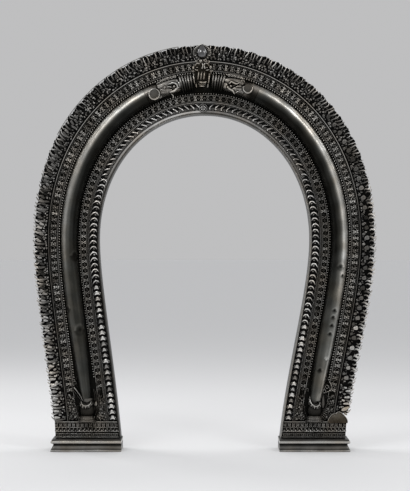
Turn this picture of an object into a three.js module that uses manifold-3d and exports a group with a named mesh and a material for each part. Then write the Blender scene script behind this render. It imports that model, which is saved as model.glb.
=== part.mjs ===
// Deity aureole: a horseshoe arch of chased silver sheet on a jointed wooden core, in millimetres.
// +Z is up, the ornamented front faces -Y, and the origin is the bottom centre of the whole object.
import * as THREE from "three";
import { mergeVertices } from "three/addons/utils/BufferGeometryUtils.js";
import Module from "manifold-3d";

const wasm = await Module();
wasm.setup();

// The core's inner edge: two legs that draw in towards the feet, under a nearly elliptical crown.
const SPRING_HALF = 255.5; // half the opening where it is widest
const SPRING_Z = 505; // height of that widest place
const CROWN_RISE = 302.5; // from there to the top of the opening
const CROWN_POWER = 2.06; // 2 is an ellipse, and a little more is fuller in the shoulders
const FOOT_HALF = 190; // half the opening at the floor
const FOOT_HANDLE = { out: 17.5, up: 195 }; // how the leg's curve leaves the floor
const SPRING_HANDLE = 115; // how far it stays upright below the widest place
const LEAN = 10; // how far both feet stand to the left of the crown's centre line
const CROWN_WIDENING = 0.05; // the bands are this much broader at the crown than on the legs
const FOOT_WIDENING = 0.035; // and this much at the feet

// Levels of the foot.
const PLINTH_TOP = 29;
const PANEL_TOP = 70;
const VASE_TOP = 118; // the round moulding stands on this
const SQUARE_TOP = 150; // the bands turn from lying level to lying square to the leg up to here
const SCROLL_TOP = 178;
const TORN_TOP = 92; // the right flame border is torn off below this

// Depths, from the back to the front.
const GAP = 0.3; // between pieces that touch
const SILVER = 1.2; // thickness of the sheet
const BACK = 34;
const CORE_BACK = BACK - SILVER - GAP;
const CORE_FRONT = -0.5;
const SHEET_BACK = CORE_FRONT - GAP;
const SHEET_FRONT = SHEET_BACK - SILVER;
const STRIP_BACK = SHEET_FRONT - GAP;

// The bands across the arch, as distances from the core's inner edge, and how far forward each stands.
const CORE_WIDTH = 139;
const BORDER = { to: 2, front: -6.5 };
const LEAF = { from: 2.4, to: 23.6, front: -7.5 };
const INNER_RIDGE = { from: 24, to: 27, front: -7 };
const LATTICE = { from: 27.4, to: 43.2, front: -5.5 };
const INNER_BEADS = { from: 43.6, to: 48.2, front: -7 };
const TUBE = { centre: 69, radius: 19.5, endDrop: 9.5 };
const TUBE_TAPER = { // the round moulding's lower end, and the height from which it is full
  left: { endRadius: 7.5, fullFrom: 330 },
  right: { endRadius: 10.5, fullFrom: 270 },
};
const OUTER_BEADS = { from: 90, to: 98, front: -7 };
const VINE = { from: 98.4, to: 116.4, front: -5.5 };
const OUTER_RIDGE = { from: 116.8, to: 121, front: -8 };
const FLAMES = { from: 121.4, root: 139, tip: 159, front: -5.5, pitch: 11.5, lean: 5 };
const HEM = 12; // how far the rims fold over onto the back
const STRIP_CHAMFER = 0.8;
const LIP = 1.5; // height of a ridge's or a rim's upright sides

// Where the arch comes apart, as angles round the crown from the widest place.
const TUBE_JOINT_ANGLE = 6.6;
const CORE_JOINT_ANGLE = 54;
const FLAME_JOINT_ANGLE = 12;
const MAKARA = {
  left: { mouth: 66, neck: 80.5, ruff: 85.4 },
  right: { mouth: 68.5, neck: 82.5, ruff: 87.4 },
};
const CREST_X = -6; // the mask and the crest sit a little left of the crown's centre line

const silver = { color: 0x6f6b66, roughness: 0.38, metalness: 1 };
const darkSilver = { color: 0x55514d, roughness: 0.48, metalness: 1 };
const brightSilver = { color: 0x8d8a86, roughness: 0.3, metalness: 1 };
const wood = { color: 0x4a3526, roughness: 0.8, metalness: 0 };

const leg = new THREE.CubicBezierCurve(
  new THREE.Vector2(FOOT_HALF, 0),
  new THREE.Vector2(FOOT_HALF + FOOT_HANDLE.out, FOOT_HANDLE.up),
  new THREE.Vector2(SPRING_HALF, SPRING_Z - SPRING_HANDLE),
  new THREE.Vector2(SPRING_HALF, SPRING_Z),
);

function smooth(share) {
  const s = THREE.MathUtils.clamp(share, 0, 1);
  return s * s * (3 - 2 * s);
}

// A place on the right half of the core's inner edge, with the outward normal.
// p runs from 0 at the floor to 1 at the widest place and 2 at the top of the crown.
function edge(p) {
  if (p < 1) {
    const at = leg.getPoint(p);
    const tangent = leg.getTangent(p);
    const square = new THREE.Vector2(tangent.y, -tangent.x);
    const turned = smooth((at.y - PANEL_TOP) / (SQUARE_TOP - PANEL_TOP));
    const normal = new THREE.Vector2(1, 0).lerp(square, turned).normalize();
    return { x: at.x, z: at.y, normal, widen: 1 + FOOT_WIDENING * smooth(1 - at.y / SQUARE_TOP) };
  }
  const angle = (p - 1) * Math.PI / 2;
  const across = Math.max(Math.cos(angle), 0) ** (2 / CROWN_POWER);
  const up = Math.sin(angle) ** (2 / CROWN_POWER);
  const normal = new THREE.Vector2(
    across ** (CROWN_POWER - 1) / SPRING_HALF,
    up ** (CROWN_POWER - 1) / CROWN_RISE,
  ).normalize();
  return {
    x: SPRING_HALF * across,
    z: SPRING_Z + CROWN_RISE * up,
    normal,
    widen: 1 + CROWN_WIDENING * smooth(up),
  };
}

// A point at p along the arch, a distance across the bands and a depth.
function place(p, offset, y = 0) {
  const { x, z, normal, widen } = edge(p);
  return new THREE.Vector3(x + normal.x * offset * widen, y, z + normal.y * offset * widen);
}

// p at a height on the leg.
function atHeight(z) {
  let [low, high] = [0, 1];
  for (let i = 0; i < 40; i++) {
    const middle = (low + high) / 2;
    if (leg.getPoint(middle).y < z) low = middle;
    else high = middle;
  }
  return low;
}

// p at an angle round the crown.
const atAngle = (degrees) => 1 + degrees / 90;

// p moved a distance along a band.
function along(p, offset, distance) {
  const step = 1e-3;
  const near = place(p - step, offset);
  return p + distance * step / near.distanceTo(place(p, offset));
}

const FOOT = atHeight(PLINTH_TOP + GAP);
const BAND_FOOT = atHeight(PANEL_TOP + GAP);
const TORN_FOOT = atHeight(TORN_TOP);
const TUBE_FOOT = atHeight(VASE_TOP + TUBE.endDrop);
const BEAD_FOOT = atHeight(SCROLL_TOP + 2);
const TUBE_JOINT = atAngle(TUBE_JOINT_ANGLE);
const FLAME_JOINT = atAngle(FLAME_JOINT_ANGLE);
const CORE_JOINTS = [1, atAngle(CORE_JOINT_ANGLE)];
const MIDDLE = along(2, 0, -GAP / 2); // where a band meets its mirror image

// The stations that every band shares, so that neighbours facet alike.
const STATIONS = [
  FOOT, BAND_FOOT, TORN_FOOT, TUBE_FOOT, BEAD_FOOT,
  ...[50, SQUARE_TOP, 215, TUBE_TAPER.right.fullFrom, TUBE_TAPER.left.fullFrom, 385, 445].map(atHeight),
  ...CORE_JOINTS, TUBE_JOINT, FLAME_JOINT,
  ...[20, 28, 36, 44, 52, 60, 76, 82].map(atAngle),
  ...[MAKARA.left.mouth, MAKARA.right.mouth].map(atAngle),
];

function stationsBetween(from, to) {
  const margin = 0.004;
  const inside = STATIONS.filter((p) => p > from + margin && p < to - margin);
  return [from, ...inside, to].sort((a, b) => a - b);
}

// Closed outlines of [distance across, depth] points carried along the arch, with flat ends.
function sweep(outlineAt, stations) {
  const rings = stations.map(outlineAt);
  const positions = rings.flatMap((ring, i) =>
    ring.flatMap(([offset, y]) => place(stations[i], offset, y).toArray()));
  const count = rings[0].length;
  const faces = [];
  for (let i = 0; i + 1 < stations.length; i++) {
    for (let k = 0; k < count; k++) {
      const a = i * count + k;
      const b = i * count + ((k + 1) % count);
      faces.push(a, a + count, b, b, a + count, b + count);
    }
  }
  const last = (stations.length - 1) * count;
  const flat = rings[0].map(([offset, y]) => new THREE.Vector2(offset, y));
  const clockwise = THREE.ShapeUtils.isClockWise(flat);
  for (const [a, b, c] of THREE.ShapeUtils.triangulateShape(flat, [])) {
    const [first, second] = clockwise ? [c, b] : [b, c];
    faces.push(a, first, second, last + a, last + second, last + first);
  }
  const geometry = new THREE.BufferGeometry();
  geometry.setAttribute("position", new THREE.Float32BufferAttribute(positions, 3));
  geometry.setIndex(faces);
  return facingOut(geometry);
}

const band = (outline, from, to = MIDDLE) => sweep(() => outline, stationsBetween(from, to));

function signedVolume(geometry) {
  const at = geometry.getAttribute("position");
  const index = geometry.getIndex();
  const corner = [0, 1, 2].map(() => new THREE.Vector3());
  let total = 0;
  for (let i = 0; i < index.count; i += 3) {
    corner.forEach((v, k) => v.fromBufferAttribute(at, index.getX(i + k)));
    total += corner[0].dot(corner[1].cross(corner[2]));
  }
  return total / 6;
}

function facingOut(geometry) {
  if (signedVolume(geometry) > 0) return geometry;
  const index = geometry.getIndex().array;
  for (let i = 0; i < index.length; i += 3) {
    [index[i], index[i + 1]] = [index[i + 1], index[i]];
  }
  return geometry;
}

function merged(geometry) {
  const bare = geometry.clone();
  for (const name of ["normal", "uv"]) bare.deleteAttribute(name);
  return mergeVertices(bare, 1e-4);
}

// A geometry as a solid for cutting and joining, and back.
function solid(geometry) {
  const whole = merged(geometry);
  return new wasm.Manifold(
    new wasm.Mesh({
      numProp: 3,
      vertProperties: new Float32Array(whole.getAttribute("position").array),
      triVerts: new Uint32Array(whole.getIndex().array),
    }),
  );
}

function geometryOf(made) {
  const mesh = made.getMesh();
  const geometry = new THREE.BufferGeometry();
  geometry.setAttribute("position", new THREE.BufferAttribute(new Float32Array(mesh.vertProperties), 3));
  geometry.setIndex(new THREE.BufferAttribute(new Uint32Array(mesh.triVerts), 1));
  return geometry;
}

const joined = (pieces) => pieces.map(solid).reduce((whole, piece) => whole.add(piece));

// A box given by its lowest and highest corners.
function block(low, high) {
  const size = high.map((h, i) => h - low[i]);
  return new THREE.BoxGeometry(...size).translate(...low.map((l, i) => l + size[i] / 2));
}

// An outline in X and Z, standing from one depth to a nearer one.
function plate(points, back, front) {
  return new THREE.ExtrudeGeometry(new THREE.Shape(points), { depth: back - front, bevelEnabled: false })
    .rotateX(Math.PI / 2)
    .translate(0, back, 0);
}

// What is kept of a solid in front of a depth.
const FAR = 2000;
function inFrontOf(y, made) {
  return made.intersect(solid(block([-FAR, -FAR, -FAR], [FAR, y, FAR])));
}

// A round knob that faces forward and narrows towards its back.
const KNOB_TAPER = 0.8;
function knob(x, z, radius, back, front, sides = 12) {
  return new THREE.CylinderGeometry(radius, radius * KNOB_TAPER, back - front, sides)
    .translate(x, (back + front) / 2, z);
}

function ball(x, y, z, rx, ry, rz, sides = 8) {
  return new THREE.SphereGeometry(1, sides, Math.round(sides * 0.75))
    .rotateX(Math.PI / 2)
    .scale(rx, ry, rz)
    .translate(x, y, z);
}

// The wooden core: a leg and a haunch on each side and one crown board, joined by loose tongues.
const TONGUE = { along: 30, across: 64, thick: 12 };
const TENON = { across: 80, thick: 18, deep: 18 };
const CORE_MIDDLE_Y = (CORE_FRONT + CORE_BACK) / 2;
const footCentreX = place(FOOT, CORE_WIDTH / 2).x;

const coreOutline = [
  [0, CORE_FRONT], [CORE_WIDTH, CORE_FRONT], [CORE_WIDTH, CORE_BACK], [0, CORE_BACK],
];

function tongue(p, extra = 0) {
  const { normal } = edge(p);
  const across = new THREE.Vector3(normal.x, 0, normal.y);
  const depth = new THREE.Vector3(0, 1, 0);
  const forward = new THREE.Vector3().crossVectors(depth, across);
  const turn = new THREE.Matrix4()
    .makeBasis(forward, depth, across)
    .setPosition(place(p, CORE_WIDTH / 2, CORE_MIDDLE_Y));
  const size = [2 * TONGUE.along, TONGUE.thick, TONGUE.across].map((length) => length + 2 * extra);
  return new THREE.BoxGeometry(...size).applyMatrix4(turn);
}

function tenon(extra = 0) {
  const halfX = TENON.across / 2 + extra;
  const halfY = TENON.thick / 2 + extra;
  return block(
    [footCentreX - halfX, CORE_MIDDLE_Y - halfY, PLINTH_TOP - TENON.deep - extra],
    [footCentreX + halfX, CORE_MIDDLE_Y + halfY, PLINTH_TOP + 2],
  );
}

const coreMiddle = CORE_WIDTH / 2;
const jointBelow = (p) => along(p, coreMiddle, -GAP / 2);
const jointAbove = (p) => along(p, coreMiddle, GAP / 2);

function coreLeg() {
  const board = solid(band(coreOutline, FOOT, jointBelow(CORE_JOINTS[0])));
  return geometryOf(board.add(solid(tenon())).subtract(solid(tongue(CORE_JOINTS[0], GAP))));
}

function coreHaunch() {
  const board = solid(band(coreOutline, jointAbove(CORE_JOINTS[0]), jointBelow(CORE_JOINTS[1])));
  return geometryOf(CORE_JOINTS.reduce((made, p) => made.subtract(solid(tongue(p, GAP))), board));
}

function coreCrown() {
  const half = solid(band(coreOutline, jointAbove(CORE_JOINTS[1]), 2));
  const cut = half.subtract(solid(tongue(CORE_JOINTS[1], GAP)));
  return geometryOf(cut.add(cut.mirror([1, 0, 0])));
}

// The sheet that wraps the core: a face, and a binding round each edge that is hemmed on the back.
const faceOutline = [
  [0, SHEET_BACK], [0, SHEET_FRONT], [CORE_WIDTH, SHEET_FRONT], [CORE_WIDTH, SHEET_BACK],
];

const innerFar = -GAP - SILVER;
const innerRimOutline = [
  [BORDER.to, STRIP_BACK], [BORDER.to, BORDER.front + LIP], [(BORDER.to + innerFar) / 2, BORDER.front],
  [innerFar, BORDER.front + LIP], [innerFar, BACK], [HEM, BACK], [HEM, BACK - SILVER],
  [-GAP, BACK - SILVER], [-GAP, STRIP_BACK],
];

const outerNear = CORE_WIDTH + GAP;
const outerRimOutline = [
  [outerNear, SHEET_FRONT], [outerNear + SILVER, SHEET_FRONT], [outerNear + SILVER, BACK],
  [CORE_WIDTH - HEM, BACK], [CORE_WIDTH - HEM, BACK - SILVER], [outerNear, BACK - SILVER],
];

// A flat strip with chamfered sides, and a ridge with a crest along its middle.
const flatStrip = ({ from, to, front }) => [
  [from, STRIP_BACK], [from + STRIP_CHAMFER, front], [to - STRIP_CHAMFER, front], [to, STRIP_BACK],
];
const ridgeStrip = ({ from, to, front }) => [
  [from, STRIP_BACK], [from, STRIP_BACK - LIP], [(from + to) / 2, front], [to, STRIP_BACK - LIP],
  [to, STRIP_BACK],
];

// A round moulding's section, cut flat where it lies on the face: from one corner of the flat to the other.
const SEAT = 0.42; // how far its axis stands off the face, in radii
const ROUND_SIDES = 9;

function roundSection(radius) {
  const start = Math.acos(SEAT);
  const whole = 2 * (Math.PI - start);
  return Array.from({ length: ROUND_SIDES + 1 }, (_, i) => {
    const turn = start + whole * i / ROUND_SIDES;
    return [
      TUBE.centre + radius * Math.sin(turn),
      STRIP_BACK + radius * (Math.cos(turn) - SEAT),
    ];
  });
}

// The big round moulding thins out towards the vase that it stands on.
function tubeRadius(p, word) {
  const { endRadius, fullFrom } = TUBE_TAPER[word];
  const share = THREE.MathUtils.clamp((edge(p).z - VASE_TOP) / (fullFrom - VASE_TOP), 0, 1);
  return THREE.MathUtils.lerp(endRadius, TUBE.radius, Math.sqrt(share));
}

function tubeSkin(from, to, word) {
  const outline = (p) => [
    ...roundSection(tubeRadius(p, word)),
    ...roundSection(tubeRadius(p, word) - SILVER).reverse(),
  ];
  return sweep(outline, stationsBetween(from, to));
}

function tubeRod(from, to, word) {
  return sweep((p) => roundSection(tubeRadius(p, word) - SILVER - GAP), stationsBetween(from, to));
}

// Places at an even spacing along a band, from one end to the other.
function evenly(offset, from, to, pitch) {
  const steps = 600;
  const walk = Array.from({ length: steps + 1 }, (_, i) => from + (to - from) * i / steps);
  const run = [0];
  for (let i = 1; i <= steps; i++) {
    run.push(run[i - 1] + place(walk[i], offset).distanceTo(place(walk[i - 1], offset)));
  }
  const count = Math.round(run[steps] / pitch);
  let i = 0;
  return Array.from({ length: count + 1 }, (_, k) => {
    const wanted = run[steps] * k / count;
    while (i < steps - 1 && run[i + 1] < wanted) i++;
    return THREE.MathUtils.lerp(walk[i], walk[i + 1], (wanted - run[i]) / (run[i + 1] - run[i]));
  });
}

const inPlane = (p, offset) => {
  const at = place(p, offset);
  return new THREE.Vector2(at.x, at.z);
};

// The flame border: a strip whose outer side is cut into tongues that lean up the arch.
function flameBorder(from, to) {
  const marks = evenly(FLAMES.root, from, to, FLAMES.pitch);
  const points = [];
  for (let i = 0; i + 1 < marks.length; i++) {
    const step = marks[i + 1] - marks[i];
    const belly = THREE.MathUtils.lerp(FLAMES.root, FLAMES.tip, 0.5);
    points.push(inPlane(marks[i], FLAMES.root));
    points.push(inPlane(marks[i] + 0.3 * step, belly));
    points.push(inPlane(along(marks[i] + 0.4 * step, FLAMES.tip, FLAMES.lean), FLAMES.tip));
  }
  points.push(inPlane(to, FLAMES.root));
  for (const p of stationsBetween(from, to).reverse()) points.push(inPlane(p, FLAMES.from));
  return plate(points, STRIP_BACK, FLAMES.front);
}

// The foot: a moulded plinth casing on a wooden block, a chased panel, and a vase between two scrolls.
const PLINTH = { inner: FOOT_HALF - 1.5, outer: FOOT_HALF + 167, front: -BACK, back: BACK };
const PLINTH_PROFILE = [[0, 0], [8, 0], [9.5, 5.5], [17, 6.5], [20.5, 1], [26, 1], [PLINTH_TOP, 3.5]];
const BLOCK_INSET = 8; // the wooden block stands this far inside the casing's foot
const BLOCK_TOP = 27;

function lofted(levels) {
  const positions = levels.flat(2);
  const faces = [];
  for (let i = 0; i + 1 < levels.length; i++) {
    for (let k = 0; k < 4; k++) {
      const a = i * 4 + k;
      const b = i * 4 + ((k + 1) % 4);
      faces.push(a, b, b + 4, a, b + 4, a + 4);
    }
  }
  const top = (levels.length - 1) * 4;
  faces.push(0, 2, 1, 0, 3, 2, top, top + 1, top + 2, top, top + 2, top + 3);
  const geometry = new THREE.BufferGeometry();
  geometry.setAttribute("position", new THREE.Float32BufferAttribute(positions, 3));
  geometry.setIndex(faces);
  return facingOut(geometry);
}

function plinthBlock(extra = 0) {
  return block(
    [PLINTH.inner + SILVER + GAP - extra, PLINTH.front + BLOCK_INSET - extra, -extra],
    [PLINTH.outer - BLOCK_INSET + extra, PLINTH.back - BLOCK_INSET + extra, BLOCK_TOP + extra],
  );
}

const plinthCore = () => geometryOf(solid(plinthBlock()).subtract(solid(tenon(GAP))));

function plinthCasing() {
  const levels = PLINTH_PROFILE.map(([z, inset]) => [
    [PLINTH.inner, PLINTH.front + inset, z],
    [PLINTH.outer - inset, PLINTH.front + inset, z],
    [PLINTH.outer - inset, PLINTH.back - inset, z],
    [PLINTH.inner, PLINTH.back - inset, z],
  ]);
  const hollows = [plinthBlock(GAP), tenon(GAP)].map(solid);
  return geometryOf(hollows.reduce((made, hollow) => made.subtract(hollow), solid(lofted(levels))));
}

// The panel: a field between a lower and an upper bar.
const PANEL = { from: 2.4, to: 150, field: -6, line: -9, bar: 4, slope: 1.5 };

function footPanel() {
  const low = PLINTH_TOP + GAP;
  const rows = [
    [low, PANEL.line], [low + PANEL.bar, PANEL.line], [low + PANEL.bar + PANEL.slope, PANEL.field],
    [PANEL_TOP - PANEL.bar - PANEL.slope, PANEL.field], [PANEL_TOP - PANEL.bar, PANEL.line],
    [PANEL_TOP, PANEL.line],
  ];
  const fronts = new Map(rows.map(([z, front]) => [atHeight(z), front]));
  return sweep(
    (p) => flatStrip({ ...PANEL, front: fronts.get(p) }),
    [...fronts.keys()],
  );
}

// The vase, turned on a lotus foot and cut flat where it lies on the face. Points are [radius, height].
const VASE = { radius: 16.5, foot: 72, inward: 1.5, sides: 12 };
const vaseProfile = [
  [0, VASE.foot], [16, VASE.foot], [18, 75.5], [14, 79], [16.5, 82], [10, 86], [14.5, 91],
  [VASE.radius, 99], [14, 107], [10.5, 111], [13, 114], [13, VASE_TOP], [0, VASE_TOP],
];
const vaseX = place(TUBE_FOOT, TUBE.centre).x - VASE.inward;
const vaseY = STRIP_BACK - SEAT * VASE.radius;

function vase() {
  const profile = vaseProfile.map(([radius, z]) => new THREE.Vector2(radius, z));
  const turned = new THREE.LatheGeometry(profile, VASE.sides)
    .rotateX(Math.PI / 2)
    .translate(vaseX, vaseY, 0);
  return geometryOf(inFrontOf(STRIP_BACK, solid(facingOut(merged(turned)))));
}

// A scroll beside the vase, curling outwards at its top. away is +1 towards the fringe.
// Its sides are [height, distance short of the reach] points, from its foot up.
const SCROLL = {
  front: -9,
  knobRadius: 4,
  knobFront: -12,
  outside: [[75, 1], [100, 0], [130, 2], [150, 0]],
  inside: [[75, 5], [100, 6], [130, 7.5], [150, 6]],
};

function scroll(away, reach) {
  const side = (z, distance) => inPlane(atHeight(z), TUBE.centre + away * distance);
  const outside = SCROLL.outside.map(([z, short]) => side(z, reach - short));
  const inside = SCROLL.inside.map(([z, short]) => side(z, reach - short)).reverse();
  const top = side(SCROLL_TOP - 1.5 * SCROLL.knobRadius, reach - SCROLL.knobRadius);
  const tip = side(SCROLL_TOP - SCROLL.knobRadius, reach - 2 * SCROLL.knobRadius);
  const leaf = plate([...outside, top, tip, ...inside], STRIP_BACK, SCROLL.front);
  return geometryOf(joined([leaf, knob(top.x, top.y, SCROLL.knobRadius, STRIP_BACK, SCROLL.knobFront)]));
}

// The crown: a makara head on each side that holds the round moulding in its mouth, with a ruff behind.
const radiiAlong = (from, to, shares) => shares.map(([share, radius]) => [
  THREE.MathUtils.lerp(from, to, share),
  radius,
]);

function swelling(stops) {
  const radii = new Map(stops);
  return sweep((p) => roundSection(radii.get(p)), [...radii.keys()]);
}

// Radii at shares of the length, from the mouth to the neck and from the neck to the mask.
const HEAD_RADII = [[0, 20.7], [0.18, 18.5], [0.4, 20], [0.6, 20.7], [0.85, 17.5], [1, 16.5]];
const RUFF_RADII = [[0, 16], [0.3, 20.5], [0.34, 16.5], [0.63, 20.7], [0.67, 17], [1, 20.7]];
const VOLUTE = { radius: 12.5, front: -33.5, below: 4 };
const EYE = { radius: 5, front: -33, above: 5, share: 0.6 };
const KNOB_ROOT = -12; // the knobs on a head are rooted this deep in it

function makaraHead({ mouth, neck }) {
  const from = along(atAngle(mouth), TUBE.centre, GAP / 2);
  const to = along(atAngle(neck), TUBE.centre, -GAP / 2);
  const disc = place(along(from, TUBE.centre, VOLUTE.radius + 1), TUBE.centre - VOLUTE.below);
  const eye = place(THREE.MathUtils.lerp(from, to, EYE.share), TUBE.centre + EYE.above);
  return geometryOf(joined([
    swelling(radiiAlong(from, to, HEAD_RADII)),
    knob(disc.x, disc.z, VOLUTE.radius, KNOB_ROOT, VOLUTE.front),
    knob(eye.x, eye.z, EYE.radius, KNOB_ROOT, EYE.front),
  ]));
}

function neckRuff({ neck, ruff }) {
  const from = along(atAngle(neck), TUBE.centre, GAP / 2);
  return swelling(radiiAlong(from, atAngle(ruff), RUFF_RADII));
}

// The lion mask: a mane plate with a rounded face, brows, eyes, cheeks, a nose, fangs and a lip.
// Places and sizes are [across, depth, up] from the mask's own middle, given for its right half.
const MASK = { back: -8.4, maneFront: -14, x: CREST_X, z: 906, halfWidth: 23, halfHeight: 33 };
const MANE_POINTS = 20;
const MANE_NOTCH = 0.86;
const MASK_BALLS = [
  { at: [8.5, -21, 13], size: [5.5, 6, 5.5] }, // eye
  { at: [10, -21, 21], size: [9, 6.5, 4] }, // brow
  { at: [11.5, -18, -3], size: [7, 9, 7] }, // cheek
];
const FACE = { y: -13, size: [19, 12, 27], sides: 12 };
const NOSE = { y: -23, up: 6, radius: 6, length: 24, lean: 0.25 };
const FANG = { across: 7, y: -24, up: -13, radius: 2.4, length: 13 };
const LOWER_LIP = { low: [-13, -29, -24], high: [13, -14, -19] };

function lionMask() {
  const mane = Array.from({ length: MANE_POINTS }, (_, i) => {
    const turn = 2 * Math.PI * i / MANE_POINTS;
    const reach = i % 2 ? MANE_NOTCH : 1;
    const [across, up] = [MASK.halfWidth * Math.cos(turn), MASK.halfHeight * Math.sin(turn)];
    return new THREE.Vector2(across, up).multiplyScalar(reach);
  });
  const pairs = [-1, 1].flatMap((side) => [
    ...MASK_BALLS.map(({ at: [x, y, z], size }) => ball(side * x, y, z, ...size)),
    new THREE.ConeGeometry(FANG.radius, FANG.length, 5)
      .rotateX(Math.PI)
      .translate(side * FANG.across, FANG.y, FANG.up),
  ]);
  const face = ball(0, FACE.y, 0, ...FACE.size, FACE.sides);
  const nose = new THREE.ConeGeometry(NOSE.radius, NOSE.length, 4)
    .rotateX(Math.PI / 2 + NOSE.lean)
    .translate(0, NOSE.y, NOSE.up);
  const lip = block(LOWER_LIP.low, LOWER_LIP.high);
  const parts = [plate(mane, MASK.back, MASK.maneFront), face, nose, lip, ...pairs];
  return geometryOf(inFrontOf(MASK.back, joined(parts)).translate([MASK.x, 0, MASK.z]));
}

// The crest: a pointed drop of polished silver on a stepped setting of the same outline.
const CREST = { low: 935.5, high: 976, half: 22, steps: [[1, -5.8, -8], [0.84, -7, -10]] };
const JEWEL = { low: 939, high: 973, radius: 12.5, back: -10.3, depth: 0.85, axisY: -14, sides: 14 };

// A drop's half outline from its foot to its point, as [half width, height] points.
function dropProfile(low, high, half) {
  const tall = high - low;
  return [[0, 0], [0.62, 0.07], [0.93, 0.2], [1, 0.36], [0.86, 0.55], [0.55, 0.76], [0.2, 0.94], [0, 1]]
    .map(([out, up]) => [out * half, low + up * tall]);
}

function crestSetting() {
  const middle = (CREST.low + CREST.high) / 2;
  const right = dropProfile(CREST.low, CREST.high, CREST.half);
  const left = right.slice(1, -1).reverse().map(([out, z]) => [-out, z]);
  const steps = CREST.steps.map(([share, back, front]) => {
    const shrunk = ([x, z]) => new THREE.Vector2(x * share, middle + (z - middle) * share);
    return plate([...right, ...left].map(shrunk), back, front);
  });
  return geometryOf(joined(steps).translate([CREST_X, 0, 0]));
}

function crestJewel() {
  const profile = dropProfile(JEWEL.low, JEWEL.high, JEWEL.radius)
    .map(([out, z]) => new THREE.Vector2(out, z));
  const drop = new THREE.LatheGeometry(profile, JEWEL.sides)
    .rotateX(Math.PI / 2)
    .scale(1, JEWEL.depth, 1)
    .translate(CREST_X, JEWEL.axisY, 0);
  return geometryOf(inFrontOf(JEWEL.back, solid(facingOut(merged(drop)))));
}

const aureole = new THREE.Group();

function add(name, geometry, material) {
  const mesh = new THREE.Mesh(geometry, new THREE.MeshStandardMaterial(material));
  mesh.name = name;
  aureole.add(mesh);
}

// Every pair is made for the right side, mirrored for the left, and leant with the feet.
function stood(geometry, side) {
  const made = merged(geometry);
  const at = made.getAttribute("position");
  for (let i = 0; i < at.count; i++) {
    const lean = LEAN * smooth((SPRING_Z - at.getZ(i)) / SPRING_Z);
    at.setX(i, side * at.getX(i) - lean);
  }
  return facingOut(made);
}

function addPair(name, build, material) {
  add(`${name}_right`, stood(build("right"), 1), material);
  add(`${name}_left`, stood(build("left"), -1), material);
}

add("core_crown", coreCrown(), wood);
addPair("core_haunch", coreHaunch, wood);
addPair("core_leg", coreLeg, wood);
addPair("core_tongue_lower", () => tongue(CORE_JOINTS[0]), wood);
addPair("core_tongue_upper", () => tongue(CORE_JOINTS[1]), wood);
addPair("face_sheet", () => band(faceOutline, FOOT), darkSilver);
addPair("inner_rim", () => band(innerRimOutline, FOOT), silver);
addPair("outer_rim", () => band(outerRimOutline, FOOT), silver);

addPair("leaf_band", () => band(ridgeStrip(LEAF), BAND_FOOT), brightSilver);
addPair("inner_ridge", () => band(ridgeStrip(INNER_RIDGE), BAND_FOOT), silver);
addPair("lattice_band", () => band(flatStrip(LATTICE), BAND_FOOT), darkSilver);
addPair("inner_bead_row", () => band(flatStrip(INNER_BEADS), BEAD_FOOT), silver);
addPair("outer_bead_row", () => band(flatStrip(OUTER_BEADS), BEAD_FOOT), silver);
addPair("vine_band", () => band(flatStrip(VINE), BAND_FOOT), darkSilver);
addPair("outer_ridge", () => band(ridgeStrip(OUTER_RIDGE), BAND_FOOT), silver);

const tubeTop = (word) => along(atAngle(MAKARA[word].mouth), TUBE.centre, -GAP / 2);
const jointGap = along(TUBE_JOINT, TUBE.centre, GAP);
addPair("tube_rod", (word) => tubeRod(TUBE_FOOT, tubeTop(word), word), wood);
addPair("tube_lower", (word) => tubeSkin(TUBE_FOOT, TUBE_JOINT, word), silver);
addPair("tube_upper", (word) => tubeSkin(jointGap, tubeTop(word), word), silver);

const flameFoot = { left: BAND_FOOT, right: TORN_FOOT };
const flameGap = along(FLAME_JOINT, FLAMES.from, GAP);
addPair("flame_border_lower", (word) => flameBorder(flameFoot[word], FLAME_JOINT), silver);
addPair("flame_border_upper", () => flameBorder(flameGap, MIDDLE), silver);

addPair("plinth_core", plinthCore, wood);
addPair("plinth_casing", plinthCasing, silver);
addPair("foot_panel", footPanel, darkSilver);
addPair("vase", vase, silver);
addPair("scroll_inner", () => scroll(-1, 25), silver);
addPair("scroll_outer", () => scroll(1, 28.5), silver);

addPair("makara_head", (word) => makaraHead(MAKARA[word]), silver);
addPair("neck_ruff", (word) => neckRuff(MAKARA[word]), silver);
add("lion_mask", lionMask(), silver);
add("crest_setting", crestSetting(), silver);
add("crest_jewel", crestJewel(), brightSilver);

export default aureole;
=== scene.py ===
import math

import bpy
import numpy as np
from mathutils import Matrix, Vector


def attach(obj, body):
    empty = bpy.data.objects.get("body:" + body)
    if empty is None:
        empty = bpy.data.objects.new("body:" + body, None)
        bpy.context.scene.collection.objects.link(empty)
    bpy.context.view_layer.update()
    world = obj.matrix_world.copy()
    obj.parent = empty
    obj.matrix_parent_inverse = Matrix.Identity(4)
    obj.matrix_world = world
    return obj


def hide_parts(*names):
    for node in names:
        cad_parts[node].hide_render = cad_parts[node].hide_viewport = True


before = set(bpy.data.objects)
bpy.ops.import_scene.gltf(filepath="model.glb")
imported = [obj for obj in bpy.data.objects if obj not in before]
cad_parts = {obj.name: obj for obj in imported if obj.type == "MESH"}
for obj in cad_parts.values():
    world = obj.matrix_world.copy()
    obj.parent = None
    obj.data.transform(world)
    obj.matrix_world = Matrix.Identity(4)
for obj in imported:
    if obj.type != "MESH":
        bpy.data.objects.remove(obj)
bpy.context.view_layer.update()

# A deity aureole: its chased silver and its wooden core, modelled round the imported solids.
# Lengths are in millimetres and become metres where a mesh is made. The lamps and the camera are in metres.
# Across runs outwards from the core's inner edge, along runs up the arch, and out faces the viewer.
# What both sides have is made for the right half and mirrored for the left.

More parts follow.
